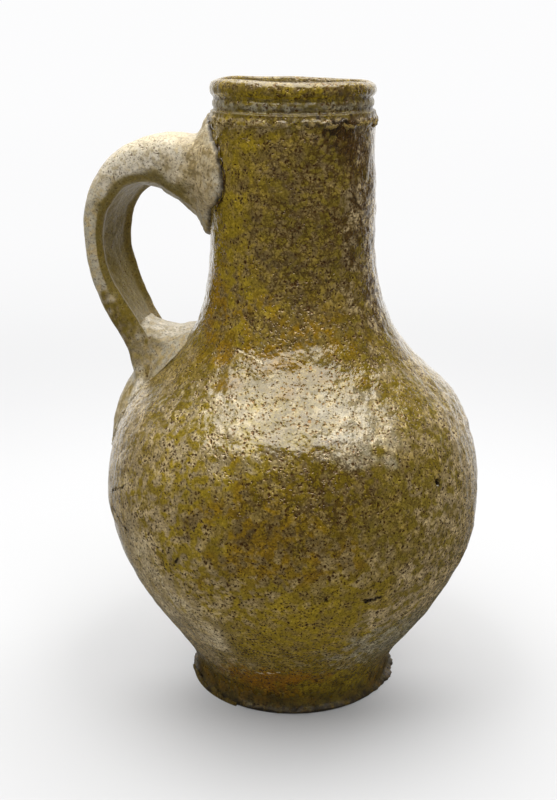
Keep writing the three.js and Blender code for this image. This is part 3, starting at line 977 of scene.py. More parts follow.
@dataclass
class Vessel:
    """The thrown vessel: foot, belly, shoulder, neck and turned rim, hollow and open at the mouth."""

    foot_radius: float = 34.4
    foot_edge_height: float = 1.3
    base_bevel: float = 0.8
    waist_inset: float = 0.8
    waist_height: float = 3.4
    belly_radius: float = 61.75
    belly_height: float = 68.5
    shoulder_radius: float = 51.0
    shoulder_rise: float = 33.0
    shoulder_slope: float = 46.4
    neck_radius: float = 25.2
    neck_flare: float = 0.7
    neck_foot_rise: float = 53.5
    neck_length: float = 32.4
    collar_height: float = 12.6
    waist_hold: float = 15.0
    belly_hold_below: float = 33.0
    belly_hold_above: float = 21.7
    shoulder_hold_below: float = 2.3
    shoulder_hold_above: float = 22.0
    neck_hold: float = 34.4
    lip_height: float = 5.2
    lip_wall: float = 3.6
    lip_crest_inset: float = 2.3
    groove_depth: float = 1.1
    cordon_inset: float = 0.6
    cordon_height: float = 3.2
    collar_step: float = 0.28
    rim_slope: float = 1.25
    rim_front_rise: float = 0.44
    belly_wall: float = 4.4
    neck_wall: float = 3.9
    floor: float = 7.0
    foot_flange: float = 0.35
    foot_raggedness: float = 0.42
    foot_chips: float = 0.18
    foot_band: Band = (0.05, 0.9, 1.1, 2.7)
    rim_settling: float = 0.19
    lip_waver: float = 0.14
    collar_raggedness: float = 0.42
    collar_swell: float = 0.16
    collar_band: Band = (-1.6, 0.3, 0.9, 2.2)
    swell_all_round: float = 0.25
    swell_above: float = 0.4
    swell_shoulder: float = 0.3
    swell_aside: float = 0.5
    shoulder_band: Band = (88.0, 104.0, 122.0, 138.0)
    low_band: Band = (12.0, 26.0, 58.0, 68.0)
    wrinkle_depth: float = 0.13
    wrinkle_side: Band = (38.0, 52.0, 84.0, 110.0)
    wrinkle_band: Band = (34.0, 50.0, 100.0, 112.0)
    turns: int = 272
    seed: float = 3.0
    gouges: tuple["Gouge", ...] = ()

    @property
    def shoulder_height(self) -> float:
        """Height of the shoulder's steepest part."""
        return self.belly_height + self.shoulder_rise

    @property
    def neck_foot(self) -> float:
        """Height at which the neck begins."""
        return self.shoulder_height + self.neck_foot_rise

    @property
    def collar_foot(self) -> float:
        """Height of the collar's lower edge."""
        return self.neck_foot + self.neck_length

    @property
    def rim(self) -> float:
        """Height of the lip's crest."""
        return self.collar_foot + self.collar_height

    def wall_line(self) -> np.ndarray:
        """The outside of the wall from the waist to the collar, as radius and height.

        Returns:
            The points, a row each.
        """
        slope = math.radians(self.shoulder_slope)
        lean, rise = -math.cos(slope), math.sin(slope)
        waist = (self.foot_radius - self.waist_inset, self.waist_height)
        belly = (self.belly_radius, self.belly_height)
        shoulder = (self.shoulder_radius, self.shoulder_height)
        neck = (self.neck_radius + self.neck_flare, self.neck_foot)
        line = [np.array(waist)]
        line += bezier(waist, (waist[0], waist[1] + self.waist_hold),
                       (belly[0], belly[1] - self.belly_hold_below), belly, 90)
        line += bezier(belly, (belly[0], belly[1] + self.belly_hold_above),
                       (shoulder[0] - self.shoulder_hold_below * lean,
                        shoulder[1] - self.shoulder_hold_below * rise), shoulder, 60)
        line += bezier(shoulder, (shoulder[0] + self.shoulder_hold_above * lean,
                                  shoulder[1] + self.shoulder_hold_above * rise),
                       (neck[0], neck[1] - self.neck_hold), neck, 80)
        line.append(np.array((self.neck_radius, self.collar_foot)))
        return np.array(line)

    def radius_at(self, height: float | np.ndarray) -> float | np.ndarray:
        """The wall's outside radius at a height.

        Args:
            height: One height or many.

        Returns:
            The radius there.
        """
        line = self.wall_line()
        return np.interp(height, line[:, 1], line[:, 0])

    def rim_line(self) -> np.ndarray:
        """The turned rim from the collar's foot over the lip into the mouth.

        Returns:
            The points, a row each.
        """
        radius, top = self.neck_radius, self.rim
        lip_foot = top - self.lip_height
        cordon_foot = lip_foot - self.cordon_height
        cordon = radius - self.cordon_inset
        groove = radius - self.groove_depth
        mouth = radius - self.lip_wall
        crest = radius - self.lip_crest_inset
        line = [(radius + self.collar_step, self.collar_foot + self.collar_step),
                (radius + self.collar_step, self.collar_foot + 1.4), (radius, cordon_foot - 1.6),
                (radius - 0.1, cordon_foot - 0.8)]
        line += bezier(line[-1], (radius - 0.2, cordon_foot - 0.3), (groove, cordon_foot - 0.4),
                       (groove, cordon_foot), 5)
        line += bezier(line[-1], (groove, cordon_foot + 0.4), (cordon, cordon_foot + 0.3),
                       (cordon, cordon_foot + self.cordon_height * 0.5), 5)
        line += bezier(line[-1], (cordon, lip_foot - 0.5), (groove, lip_foot - 0.5), (groove, lip_foot), 5)
        line += bezier(line[-1], (groove, lip_foot + 0.8), (radius + 0.1, lip_foot + 0.5),
                       (radius + 0.1, lip_foot + self.lip_height * 0.45), 8)
        line += bezier(line[-1], (radius + 0.1, top - 0.9), (crest + 1.4, top), (crest, top), 10)
        line += bezier(line[-1], (mouth + 0.5, top), (mouth, top - 0.6),
                       (mouth, top - self.lip_wall * 0.7), 6)
        return np.array(line)

    def outline(self) -> np.ndarray:
        """The closed outline from the middle of the base, up the outside and down the inside.

        Returns:
            The points, a row each.
        """
        wall = self.wall_line()
        waist = wall[0]
        foot = self.foot_radius
        inside = []
        for (r0, z0), (r1, z1) in zip(wall[:-1][::-1], wall[1:][::-1]):
            along = np.array((r1 - r0, z1 - z0)) / max(1e-9, math.hypot(r1 - r0, z1 - z0))
            share = float(smooth(z0, self.belly_height, self.neck_foot))
            thick = self.belly_wall + (self.neck_wall - self.belly_wall) * share
            inner = (r0 - along[1] * thick, z0 + along[0] * thick)
            if inner[1] > self.floor + 9:
                inside.append(inner)
        corner = inside[-1]
        inside += bezier(corner, (corner[0] - 6, self.floor), (corner[0] - 12, self.floor),
                         (0, self.floor), 12)
        parts = [spaced([(0, 0), (foot - self.base_bevel, 0)], 4.0),
                 spaced([(foot - self.base_bevel, 0), (foot, self.foot_edge_height),
                         (foot - self.waist_inset * 0.5, (self.foot_edge_height + self.waist_height) / 2),
                         tuple(waist)], 0.5),
                 spaced(wall, 1.08), spaced(self.rim_line(), 0.36), spaced(inside, 4.0)]
        line = [parts[0][0]]
        for part in parts:
            line += [p for p in part if np.linalg.norm(p - line[-1]) > 0.05]
        line[-1] = np.array((0.0, self.floor))
        return np.array(line)

    def outer_at(self, height: float | np.ndarray) -> float | np.ndarray:
        """The outside radius at a height, rim included.

        Args:
            height: One height or many.

        Returns:
            The radius there.
        """
        rim = self.rim_line()
        rim = rim[: int(np.argmax(rim[:, 1])) + 1]
        line = np.vstack([self.wall_line(), rim[np.argsort(rim[:, 1], kind="stable")]])
        return np.interp(height, line[:, 1], line[:, 0])

    def on_wall(self, bearing: float, height: float) -> tuple[float, float, float]:
        """A place on the wall.

        Args:
            bearing: Degrees round the pot from the side that faces the camera, positive to its right.
            height: Height above the table.

        Returns:
            The place in millimetres.
        """
        turn = math.radians(FACING + bearing)
        way = np.array([[math.cos(turn), math.sin(turn), height]])
        radius = float(self.stands(way)[0])
        return (math.cos(turn) * radius, math.sin(turn) * radius, height)

    def build(self, wheel: ShapeTree, clay: ShapeTree) -> bpy.types.Object:
        """Throws the vessel on the wheel and works it by hand.

        Args:
            wheel: The tree that turns an outline.
            clay: The tree that makes a surface stray.

        Returns:
            The finished piece, without its material.
        """
        line = self.outline()
        points = np.stack([line[:, 0], np.zeros(len(line)), line[:, 1]], axis=1)
        piece = piece_from("vessel_body", points, [], [(i, i + 1) for i in range(len(line) - 1)])
        wheel.run(piece, {"Turns": self.turns})
        tidy(piece)
        p = places(piece)
        radius, height = np.hypot(p[:, 0], p[:, 1]), p[:, 2]
        outside = self.on_outside(radius, self.radius_at(height))
        rimmed = smooth(height, self.collar_foot - 2, self.collar_foot + 1)
        worked = np.maximum(outside, 0.5) * smooth(height, 0.2, 3.0) * (1 - 0.45 * rimmed)
        mark(piece, "worked", worked)
        clay.run(piece, {"Lump Size": 17 * MM, "Lump Depth": 0.55 * MM, "Dimple Size": 4.6 * MM,
                         "Dimple Depth": 0.28 * MM, "Ring Pitch": 8.5 * MM, "Ring Depth": 0.12 * MM,
                         "Seed": self.seed})
        self.finish_by_hand(piece)
        return piece

    @staticmethod
    def on_outside(radius: np.ndarray, wall: np.ndarray) -> np.ndarray:
        """1 for vertices of the outer skin and 0 for the inner, by their radius and the wall's."""
        return smooth(radius, wall - 2.6, wall - 1.2)

    def swell(self, points: np.ndarray) -> np.ndarray:
        """How far out the wall stands: a little all round, and more on the right in the photograph.

        Args:
            points: Places in millimetres.

        Returns:
            The distance outwards at each point.
        """
        height = points[:, 2]
        turn = np.arctan2(points[:, 1], points[:, 0]) - math.radians(FACING + 90)
        shoulder, low = band(height, *self.shoulder_band), band(height, *self.low_band)
        level = self.swell_all_round * smooth(height, 5, 20) + self.swell_above * smooth(height, 84, 100)
        aside = self.swell_aside * low + self.swell_aside * shoulder
        return level + self.swell_shoulder * shoulder + np.cos(turn) * aside

    def stands(self, points: np.ndarray) -> np.ndarray:
        """The radius at which the wall stands at the height and on the side of each point."""
        return self.outer_at(points[:, 2]) + self.swell(points)

    def wrinkles(self, points: np.ndarray) -> np.ndarray:
        """Upright wrinkles on the belly's right side.

        Args:
            points: Places in millimetres.

        Returns:
            The distance outwards at each point, never above 0.
        """
        turn = np.degrees(np.arctan2(points[:, 1], points[:, 0])) - FACING
        there = band(turn, *self.wrinkle_side) * band(points[:, 2], *self.wrinkle_band)
        drawn_out = points * np.array((1.0, 1.0, 0.22))
        return there * self.wrinkle_depth * np.minimum(stray(drawn_out, 2.4, Draw.WRINKLES) - 1.5, 0)

    def inside_neck(self, points: np.ndarray) -> np.ndarray:
        """How much each point lies on the inner skin above the shoulder.

        Args:
            points: Places in millimetres.

        Returns:
            Shares from 0 to 1.
        """
        depth = self.outer_at(points[:, 2]) - np.hypot(points[:, 0], points[:, 1])
        return smooth(depth, 2.4, 3.4) * smooth(points[:, 2], self.shoulder_height, self.neck_foot)

    def finish_by_hand(self, piece: bpy.types.Object) -> None:
        """The sloping lip, the ragged foot, the collar's rough lower edge and the gouges.

        Args:
            piece: The thrown vessel.
        """
        p = places(piece)
        radius, height = np.hypot(p[:, 0], p[:, 1]), p[:, 2]
        ring = np.stack([p[:, 0] / radius.clip(1), p[:, 1] / radius.clip(1), 0 * radius], axis=1)
        lip_foot = self.rim - self.lip_height
        lift = np.clip((height - lip_foot) / self.lip_height, 0, 1)
        facing = math.radians(FACING)
        front = smooth(ring @ np.array((math.cos(facing), math.sin(facing), 0)), 0, 0.9)
        slope = math.tan(math.radians(self.rim_slope))
        p[:, 2] += lift * (self.rim_front_rise * front - p[:, 0] * slope - self.rim_settling)
        rising = smooth(height, self.collar_foot + 2, lip_foot)
        p[:, 2] += self.lip_waver * rising * stray(ring * self.neck_radius, 22, Draw.LIP)
        outer = self.on_outside(radius, self.outer_at(height))
        p[:, :2] *= (1 + (self.swell(p) + outer * self.wrinkles(p)) / radius.clip(1))[:, None]
        ragged = self.foot_raggedness * stray(ring * self.foot_radius, 7.5, Draw.FOOT_EDGE) \
            + self.foot_chips * stray(p, 2.4, Draw.FOOT_CHIPS)
        low = band(height, *self.foot_band) * smooth(radius, self.foot_radius - 2.4, self.foot_radius - 1.2)
        p[:, :2] *= (1 + (ragged + self.foot_flange) * low / self.foot_radius)[:, None]
        edge = band(height, *(self.collar_foot + place for place in self.collar_band)) \
            * smooth(radius, 23.5, 24.5)
        p[:, 2] += edge * self.collar_raggedness * stray(ring * self.neck_radius, 3.4, Draw.COLLAR_EDGE)
        lumps = self.collar_swell + self.collar_swell * stray(p, 2.2, Draw.COLLAR_LUMPS)
        p[:, :2] *= (1 + edge * lumps / self.neck_radius)[:, None]
        put(piece, p)
        for gouge in self.gouges:
            gouge.cut(piece, self)


@dataclass(frozen=True)
class Gouge:
    """A pit or a scratch in the wall, from one place to another.

    Attributes:
        start: Bearing and height where it begins.
        end: Bearing and height where it ends.
        width: Its half width.
        depth: Its depth.
        reach: How far round it the mesh is refined.
        waver: How far its middle line wanders.
        skin: How far under the wall's outside it still reaches.
    """

    start: tuple[float, float]
    end: tuple[float, float]
    width: float = 0.6
    depth: float = 1.0
    reach: float = 1.6
    waver: float = 0.22
    skin: float = 3.6

    def away(self, points: np.ndarray, vessel: Vessel) -> np.ndarray:
        """The distance of points from the gouge's middle line, which wanders a little.

        Args:
            points: Places in millimetres.
            vessel: The pot's sizes.

        Returns:
            The distances in millimetres.
        """
        first, last = (np.array(vessel.on_wall(*spot)) for spot in (self.start, self.end))
        along = last - first
        radius, wall = np.hypot(points[:, 0], points[:, 1]).clip(1), vessel.stands(points)
        outer = np.where(radius > wall - self.skin, wall / radius, 0.0)
        points = points * np.stack([outer, outer, np.ones(len(points))], axis=1)
        share = np.clip(((points - first) @ along) / max(1e-6, float(along @ along)), 0, 1)
        wander = [stray(points, 1.9, seed) for seed in (Draw.GOUGE_X, Draw.GOUGE_Y, Draw.GOUGE_Z)]
        bent = points + self.waver * np.stack(wander, 1)
        return np.linalg.norm(bent - first - share[:, None] * along, axis=1)

    def cut(self, piece: bpy.types.Object, vessel: Vessel) -> None:
        """Refines the mesh round the gouge and presses it in.

        Args:
            piece: The vessel's piece.
            vessel: Its sizes.
        """
        near = self.away(places(piece), vessel) < self.width + self.reach
        work = bmesh.new()
        work.from_mesh(piece.data)
        work.verts.ensure_lookup_table()
        chosen = {work.verts[i] for i in np.flatnonzero(near)}
        edges = [e for e in work.edges if e.verts[0] in chosen and e.verts[1] in chosen]
        bmesh.ops.subdivide_edges(work, edges=edges, cuts=3, use_grid_fill=True)
        work.to_mesh(piece.data)
        work.free()
        p, n = places(piece), normals(piece)
        press = self.depth * (1 - smooth(self.away(p, vessel), self.width * 0.35, self.width))
        put(piece, p - n * press[:, None])

    def bottom(self, piece: bpy.types.Object, vessel: Vessel) -> tuple[np.ndarray, Patch]:
        """The inside of the gouge: painted shade, near-black, where it is deep, and pale clay where it is a
        scratch.

        Args:
            piece: The vessel's piece.
            vessel: Its sizes.

        Returns:
            How much of it each vertex shows, and the patch for it.
        """
        # Painted shade inside deep gouges.
        tint = Tint.SOOT_AND_SHADE if self.depth > SCRATCH_DEPTH else Tint.CREAM
        weight = 1 - smooth(self.away(places(piece), vessel), self.width * 0.8, self.width * 1.3)
        return weight, Patch(thin=tint, thick=tint, dots=0.0, veins=0.0)


@dataclass(frozen=True)
class Station:
    """One station along the strap: where its middle is, and half its width and thickness there."""

    out: float
    height: float
    half_width: float
    half_thickness: float


@dataclass
class StrapHandle:
    """The pulled strap, from its swollen root on the neck to its smeared tail on the belly."""

    vessel: Vessel
    squareness: float = 0.62
    keel: float = 1.35
    channel_depth: float = 1.7
    channel_half_width: float = 0.78
    channel_shoulder: float = 0.3
    slant: float = 3.2
    root_drop: float = 18.6
    root_spread: float = 57.0
    root_overlap: float = 0.9
    root_half_height: float = 20.8
    root_dent: float = 3.0
    root_dent_at: float = 122.0
    lip: float = 1.5
    press: float = 0.9
    join_reach: float = 20.6
    join_turn: float = 118.0
    pinch_rise: float = 4.2
    tail_sink: float = 0.9
    taper: float = 1.6
    steps: int = 260
    around: int = 120

    @property
    def root_height(self) -> float:
        """Height of the root's middle."""
        return self.vessel.collar_foot - self.root_drop

    @property
    def pinch(self) -> float:
        """Height at which the strap meets the shoulder."""
        return self.vessel.shoulder_height + self.pinch_rise

    def stations(self) -> list[Station]:
        """The strap's stations, from inside the neck to the tip of the tail.

        Returns:
            The stations in order.
        """
        neck = self.vessel.neck_radius
        root, pinch = self.root_height, self.pinch
        landing = float(self.vessel.radius_at(pinch))
        spread = math.radians(self.root_spread)
        width = 12.0
        made = [
            Station(neck * math.cos(spread), root, neck * math.sin(spread) + self.root_overlap,
                    self.root_half_height),
            Station(neck - 5.2, root, 19.8, 20.6),
            Station(neck + 0.4, root, 16.4, 18.9),
            Station(neck + 4.8, root + 1.2, 13.6, 14.0),
            Station(neck + 10.0, root + 3.1, width + 0.4, 11.4),
            Station(neck + 17.2, root + 4.9, width, 9.9),
            Station(neck + 28.6, root + 1.7, width, 7.5),
            Station(neck + 36.0, root - 9.5, width, 6.0),
            Station(neck + 36.9, root - 23.1, width, 5.3),
            Station(landing + 12.3, pinch + 28.6, width, 5.4),
            Station(landing + 7.5, pinch + 18.3, width, 5.3),
            Station(landing + 2.6, pinch + 9.0, width + 0.4, 5.2),
            Station(landing + 1.4, pinch, width + 4.0, 5.2),
        ]
        for down, wide, thick in ((8.3, 19.0, 5.1), (16.3, 17.4, 4.0), (23.3, 13.0, 2.9), (27.3, 6.0, 2.1)):
            out = float(self.vessel.radius_at(pinch - down)) - self.tail_sink
            made.append(Station(out, pinch - down, wide, thick))
        return made

    @staticmethod
    def through(points: np.ndarray, shares: np.ndarray) -> np.ndarray:
        """Points of the centripetal curve through some points, at shares of its length in points.

        Args:
            points: The points.
            shares: How far along, from 0 to 1.

        Returns:
            A row for each share.
        """
        points = np.vstack([2 * points[0] - points[1], points, 2 * points[-1] - points[-2]])
        spot = shares * (len(points) - 3)
        first = np.minimum(spot.astype(int), len(points) - 4)
        t = (spot - first)[:, None]
        p0, p1, p2, p3 = (points[first + k] for k in range(4))
        d0, d1, d2 = (np.maximum(np.linalg.norm(b - a, axis=1, keepdims=True) ** 0.5, 1e-6)
                      for a, b in ((p0, p1), (p1, p2), (p2, p3)))
        leave = ((p1 - p0) / d0 - (p2 - p0) / (d0 + d1) + (p2 - p1) / d1) * d1
        reach = ((p2 - p1) / d1 - (p3 - p1) / (d1 + d2) + (p3 - p2) / d2) * d1
        return p1 + leave * t + (-3 * p1 + 3 * p2 - 2 * leave - reach) * t**2 \
            + (2 * p1 - 2 * p2 + leave + reach) * t**3

    def root_outline(self, turn: np.ndarray) -> np.ndarray:
        """How far the root reaches on the neck, as a share of its plain size.

        Args:
            turn: Angles from straight up, in radians.

        Returns:
            The share at each angle.
        """
        angle = np.degrees(np.abs((turn + math.pi) % (2 * math.pi) - math.pi))
        reach = 24.6 - 2.2 * smooth(angle, 4, 28) - 2.2 * smooth(angle, 20, 90)
        reach = reach + 0.6 * smooth(angle, 130, 180)
        return (reach - self.root_dent * np.exp(-(((angle - self.root_dent_at) / 16) ** 2))) / 21.0

    def route(self) -> tuple[np.ndarray, np.ndarray, np.ndarray]:
        """The strap's middle line, its direction outwards and its half sizes at each step.

        Returns:
            The line, the directions and the sizes, a row for each step.
        """
        stations = self.stations()
        middle = np.array([(-s.out, s.height) for s in stations])
        sizes = np.array([(s.half_width, s.half_thickness) for s in stations])
        shares = np.linspace(0, 1, self.steps + 1)
        line = self.through(middle, shares)
        along = self.through(middle, np.minimum(shares + 1e-4, 1)) \
            - self.through(middle, np.maximum(shares - 1e-4, 0))
        along /= np.linalg.norm(along, axis=1, keepdims=True)
        rooted = self.rooted(line)
        outwards = np.stack([along[:, 1], -along[:, 0]], axis=1)
        outwards += (np.array([0, 1]) - outwards) * rooted[:, None]
        outwards /= np.linalg.norm(outwards, axis=1, keepdims=True)
        return line, outwards, self.through(sizes, shares)

    def rooted(self, line: np.ndarray) -> np.ndarray:
        """How much of the root's shape each step of the middle line has."""
        neck = self.vessel.neck_radius
        return 1 - smooth(-line[:, 0], neck + 0.4, neck + 17.4)

    def crowned(self, line: np.ndarray) -> np.ndarray:
        """How much of the crown's round underside each step of the middle line has.

        Args:
            line: The middle line.

        Returns:
            Shares from 0 to 1.
        """
        neck = self.vessel.neck_radius
        return band(-line[:, 0], neck + 8, neck + 14, neck + 20, neck + 30) \
            * smooth(line[:, 1], self.root_height - 10, self.root_height)

    def skin(self) -> np.ndarray:
        """The strap's surface, as an array of steps + 1, around and 3.

        Returns:
            The places in millimetres.
        """
        neck = self.vessel.neck_radius
        line, outwards, size = self.route()
        rooted = self.rooted(line)
        lying = 1 - smooth(line[:, 1], self.pinch - 8.3, self.pinch + 9)
        limb = (1 - rooted) * smooth(line[:, 1], self.pinch + 14, self.pinch + 34)
        turn = np.linspace(0, 2 * math.pi, self.around, endpoint=False)
        sine, cosine = np.sin(turn), np.cos(turn)
        keel = self.squareness + (self.keel - self.squareness) * rooted[:, None]
        keel = keel + (0.95 - keel) * self.crowned(line)[:, None]
        power = np.where(cosine[None] < 0, keel, self.squareness)
        across = np.sign(sine) * np.abs(sine) ** power
        over = np.sign(cosine) * np.abs(cosine) ** power
        flared = (1 - smooth(-line[:, 0], neck - 1.5, neck + 8))[:, None]
        lens = np.sign(cosine) * np.abs(cosine) ** self.taper
        across = across + (sine - across) * lying[:, None]
        over = over + (lens - over) * lying[:, None]
        outline = self.root_outline(turn)
        across = across + (sine * outline - across) * flared
        over = over + (cosine * outline - over) * flared
        within = np.where(over < 0, self.channel_half_width - np.abs(across), 0)
        open_share = (1 - rooted) * (1 - 0.8 * self.crowned(line))
        channel = open_share[:, None] * smooth(within, 0, self.channel_shoulder)
        aside = across * size[:, :1]
        wrap = lying[:, None] * aside**2 / (2 * self.vessel.shoulder_radius)
        slant = limb[:, None] * np.where(over < 0, -over, 0) * (0.25 - 0.75 * across) * self.slant
        thick = over * size[:, 1:] + channel * (1 - lying)[:, None] * self.channel_depth - wrap
        thick = thick + np.where(over < 0, slant, 0)
        out, height = (line[:, k:k + 1] + outwards[:, k:k + 1] * thick for k in (0, 1))
        return np.stack([out, aside, height], axis=2)

    def gap(self, points: np.ndarray) -> np.ndarray:
        """How far points stand out of the vessel's wall."""
        return np.hypot(points[:, 0], points[:, 1]) - self.vessel.stands(points)

    def build(self, clay: ShapeTree) -> bpy.types.Object:
        """Pulls the strap and presses its ends on the pot.

        Args:
            clay: The tree that makes a surface stray.

        Returns:
            The finished piece, without its material.
        """
        points = self.skin().reshape(-1, 3)
        at_root = smooth(points[:, 2], self.root_height - 24, self.root_height - 20) \
            * (1 - smooth(-points[:, 0], self.vessel.neck_radius + 4, self.vessel.neck_radius + 14))
        stand = self.gap(points) + 0.16 * stray(points, 4.2, Draw.ROOT_WAVER) \
            + 0.1 * stray(points, 1.8, Draw.ROOT_LUMPS)
        pressed = stand - self.press + self.lip * smooth(stand, -0.1, 0.7) * (1 - 0.6 * smooth(stand, 0.7, 6))
        shift = (pressed - self.gap(points)) * at_root
        flat = points[:, :2] / np.linalg.norm(points[:, :2], axis=1, keepdims=True).clip(1)
        points[:, :2] += flat * shift[:, None]
        piece = tube("strap_handle_body", points, self.around)
        mark(piece, "worked", np.ones(len(piece.data.vertices)))
        clay.run(piece, {"Lump Size": 13 * MM, "Lump Depth": 0.5 * MM, "Dimple Size": 3.6 * MM,
                         "Dimple Depth": 0.2 * MM, "Seed": 21.0})
        return piece

    def inner_side(self, piece: bpy.types.Object) -> np.ndarray:
        """How much the strap faces the finger gap.

        Args:
            piece: The strap.

        Returns:
            A share from 0 to 1 for each vertex.
        """
        points, facing = places(piece), normals(piece)
        middle = np.array((-self.vessel.neck_radius - 16, 0, self.root_height - 22))
        out = (points - middle) * np.array((1, 0, 1))
        out /= np.linalg.norm(out, axis=1, keepdims=True)
        inward = -(facing * out).sum(axis=1) + 0.12 * stray(points, 6, Draw.CHANNEL_EDGE)
        clear = smooth(-points[:, 0], self.vessel.neck_radius + 1, self.vessel.neck_radius + 10)
        return clear * smooth(inward, -0.05, 0.45) * smooth(points[:, 2], self.pinch + 8, self.pinch + 24)

    def crack(self, points: np.ndarray) -> np.ndarray:
        """How much each point lies in the crack between the root and the neck, from 0 to 1."""
        return (1 - smooth(self.gap(points), 0.15, 0.9)) * smooth(points[:, 2], 150, 156)

    def join_line(self) -> np.ndarray:
        """The edge of the root on the neck, round its top and both sides.

        Returns:
            Places in millimetres, a row each.
        """
        turn = np.radians(np.linspace(-self.join_turn, self.join_turn, 180))
        reach = self.root_outline(turn) * self.join_reach
        aside, height = np.sin(turn) * reach, self.root_height + np.cos(turn) * reach
        height = np.minimum(height, self.vessel.collar_foot - 0.2)
        radius = self.vessel.outer_at(height) + 0.5
        return np.stack([-np.sqrt(np.maximum(radius**2 - aside**2, 1)), aside, height], axis=1)

    def highlight_streak(self, piece: bpy.types.Object) -> np.ndarray:
        """The painted highlight along the tail's near edge, a pale band where the belly's curve catches the
        light.

        Args:
            piece: The piece that carries it.

        Returns:
            How much each vertex lies in it, from 0 to 1.
        """
        line = self.tail_line()
        line = line[(line[:, 1] < 2) & (line[:, 2] < self.pinch - 1)]
        points = places(piece)
        near = points[:, 0] < -20
        away = np.full(len(points), 99.0)
        away[near] = np.min([np.linalg.norm(points[near] - spot, axis=1) for spot in line], axis=0)
        ragged = 0.5 * stray(points * np.array((1, 1, 0.4)), 2.4, Draw.STREAK_EDGE)
        return 1 - smooth(away + ragged, 1.3, 3.6)

    def tail_line(self) -> np.ndarray:
        """The edge of the tail on the belly, round its tip.

        Returns:
            Places in millimetres, a row each.
        """
        tail = self.stations()[-5:]
        heights = [s.height for s in tail] + [tail[-1].height - 2.0]
        widths = [s.half_width - 0.3 for s in tail] + [0.0]
        down = np.linspace(heights[0], heights[-1], 60)
        wide = np.interp(-down, [-h for h in heights], widths)
        aside = np.concatenate([-wide, wide[::-1][1:]])
        height = np.concatenate([down, down[::-1][1:]])
        radius = self.vessel.outer_at(height) + 0.3
        return np.stack([-np.sqrt(radius**2 - aside**2), aside, height], axis=1)


@dataclass
class Slip:
    """A bead of slip squeezed out along a join."""

    name: str
    girth: float = 0.5
    swollen: float = 0.0
    swell_from: float = 0.0
    sink: float = 0.1
    waver: float = 0.3
    lump: float = 0.22
    sides: int = 10
    seed: float = 3.0

    def build(self, line: np.ndarray, bead: ShapeTree) -> bpy.types.Object:
        """Runs the bead along a line.

        Args:
            line: Places on the pot, in millimetres.
            bead: The tree that sweeps it.

        Returns:
            The finished piece, without its material.
        """
        out = line[:, :2] / np.linalg.norm(line[:, :2], axis=1, keepdims=True)
        line = np.column_stack([line[:, :2] - out * self.sink, line[:, 2]])
        wander = [stray(line, 3.1, seed) for seed in (Draw.BEAD_X, Draw.BEAD_Y, Draw.BEAD_Z)]
        line = line + self.waver * np.stack(wander, axis=1)
        piece = piece_from(self.name, line, [], [(i, i + 1) for i in range(len(line) - 1)])
        swell = self.swollen * smooth(line[:, 2], self.swell_from, self.swell_from + 4)
        uneven = (1 + 0.25 * stray(line, 5, Draw.BEAD_GIRTH)).clip(0.4, 1.5)
        mark(piece, "girth", (self.girth + swell) * uneven * MM)
        bead.run(piece, {"Sides": self.sides, "Lump Size": 1.4 * MM, "Lump Depth": self.lump * MM,
                         "Seed": self.seed})
        tidy(piece, 1e-3)
        return piece


@dataclass
class JoinWad:
    """The wad of clay thumbed into the angle between the strap and the shoulder."""

    vessel: Vessel
    handle: StrapHandle
    half_width: float = 12.4
    top: float = 123.6
    shoulder_top: float = 122.4
    crotch: float = 102.5
    sag: float = 1.7
    bury: float = 1.6
    flatness: float = 3.2
    flare: float = 0.36
    rows: int = 72

    def build(self, clay: ShapeTree) -> bpy.types.Object:
        """Thumbs the wad in.

        Args:
            clay: The tree that makes a surface stray.

        Returns:
            The finished piece, without its material.
        """
        line, outwards, size = self.handle.route()
        lower = (line[:, 1] < self.top + 6) & (line[:, 1] > self.crotch - 4)
        inner = line[lower] - outwards[lower] * size[lower, 1:]
        order = np.argsort(inner[:, 1])
        strap_x = float(np.interp(self.top, inner[order, 1], inner[order, 0])) - self.bury
        rings = []
        high, low = (float(self.vessel.radius_at(height)) for height in (self.shoulder_top, self.crotch))
        strap = np.array((strap_x, self.top))
        for aside in np.linspace(-self.half_width, self.half_width, self.rows):
            share = abs(aside) / self.half_width
            full = max(0.02, (1 - share**self.flatness) ** (1 / self.flatness))
            shoulder = np.array((-math.sqrt(high**2 - aside**2) + self.bury, self.shoulder_top))
            crotch = np.array((-math.sqrt(low**2 - aside**2) + self.bury * 0.3, self.crotch))
            ring = [strap]
            ring += bezier(strap, strap + (3.4, -self.sag * 1.9), shoulder + (-4.5, -self.sag * 0.9),
                           shoulder, 22)
            ring += [shoulder + (crotch - shoulder) * k for k in np.linspace(0, 1, 12)[1:]]
            ring += [crotch + (strap - crotch) * k for k in np.linspace(0, 1, 12)[1:-1]]
            ring = crotch + (np.array(ring) - crotch) * full
            rings.append(np.stack([ring[:, 0], np.full(len(ring), aside), ring[:, 1]], axis=1))
        points = np.array(rings).reshape(-1, 3)
        stand = self.handle.gap(points)
        radius = np.hypot(points[:, 0], points[:, 1])
        turn = np.arctan2(points[:, 1], -points[:, 0]) * (1 + self.flare * (1 - smooth(stand, -2.0, 6.0)))
        points[:, :2] = np.stack([-np.cos(turn) * radius, np.sin(turn) * radius], axis=1)
        piece = tube("lower_wad", points, len(rings[0]))
        mark(piece, "worked", np.ones(len(piece.data.vertices)))
        clay.run(piece, {"Lump Size": 7 * MM, "Lump Depth": 0.8 * MM, "Dimple Size": 2.6 * MM,
                         "Dimple Depth": 0.3 * MM, "Seed": 33.0})
        return piece


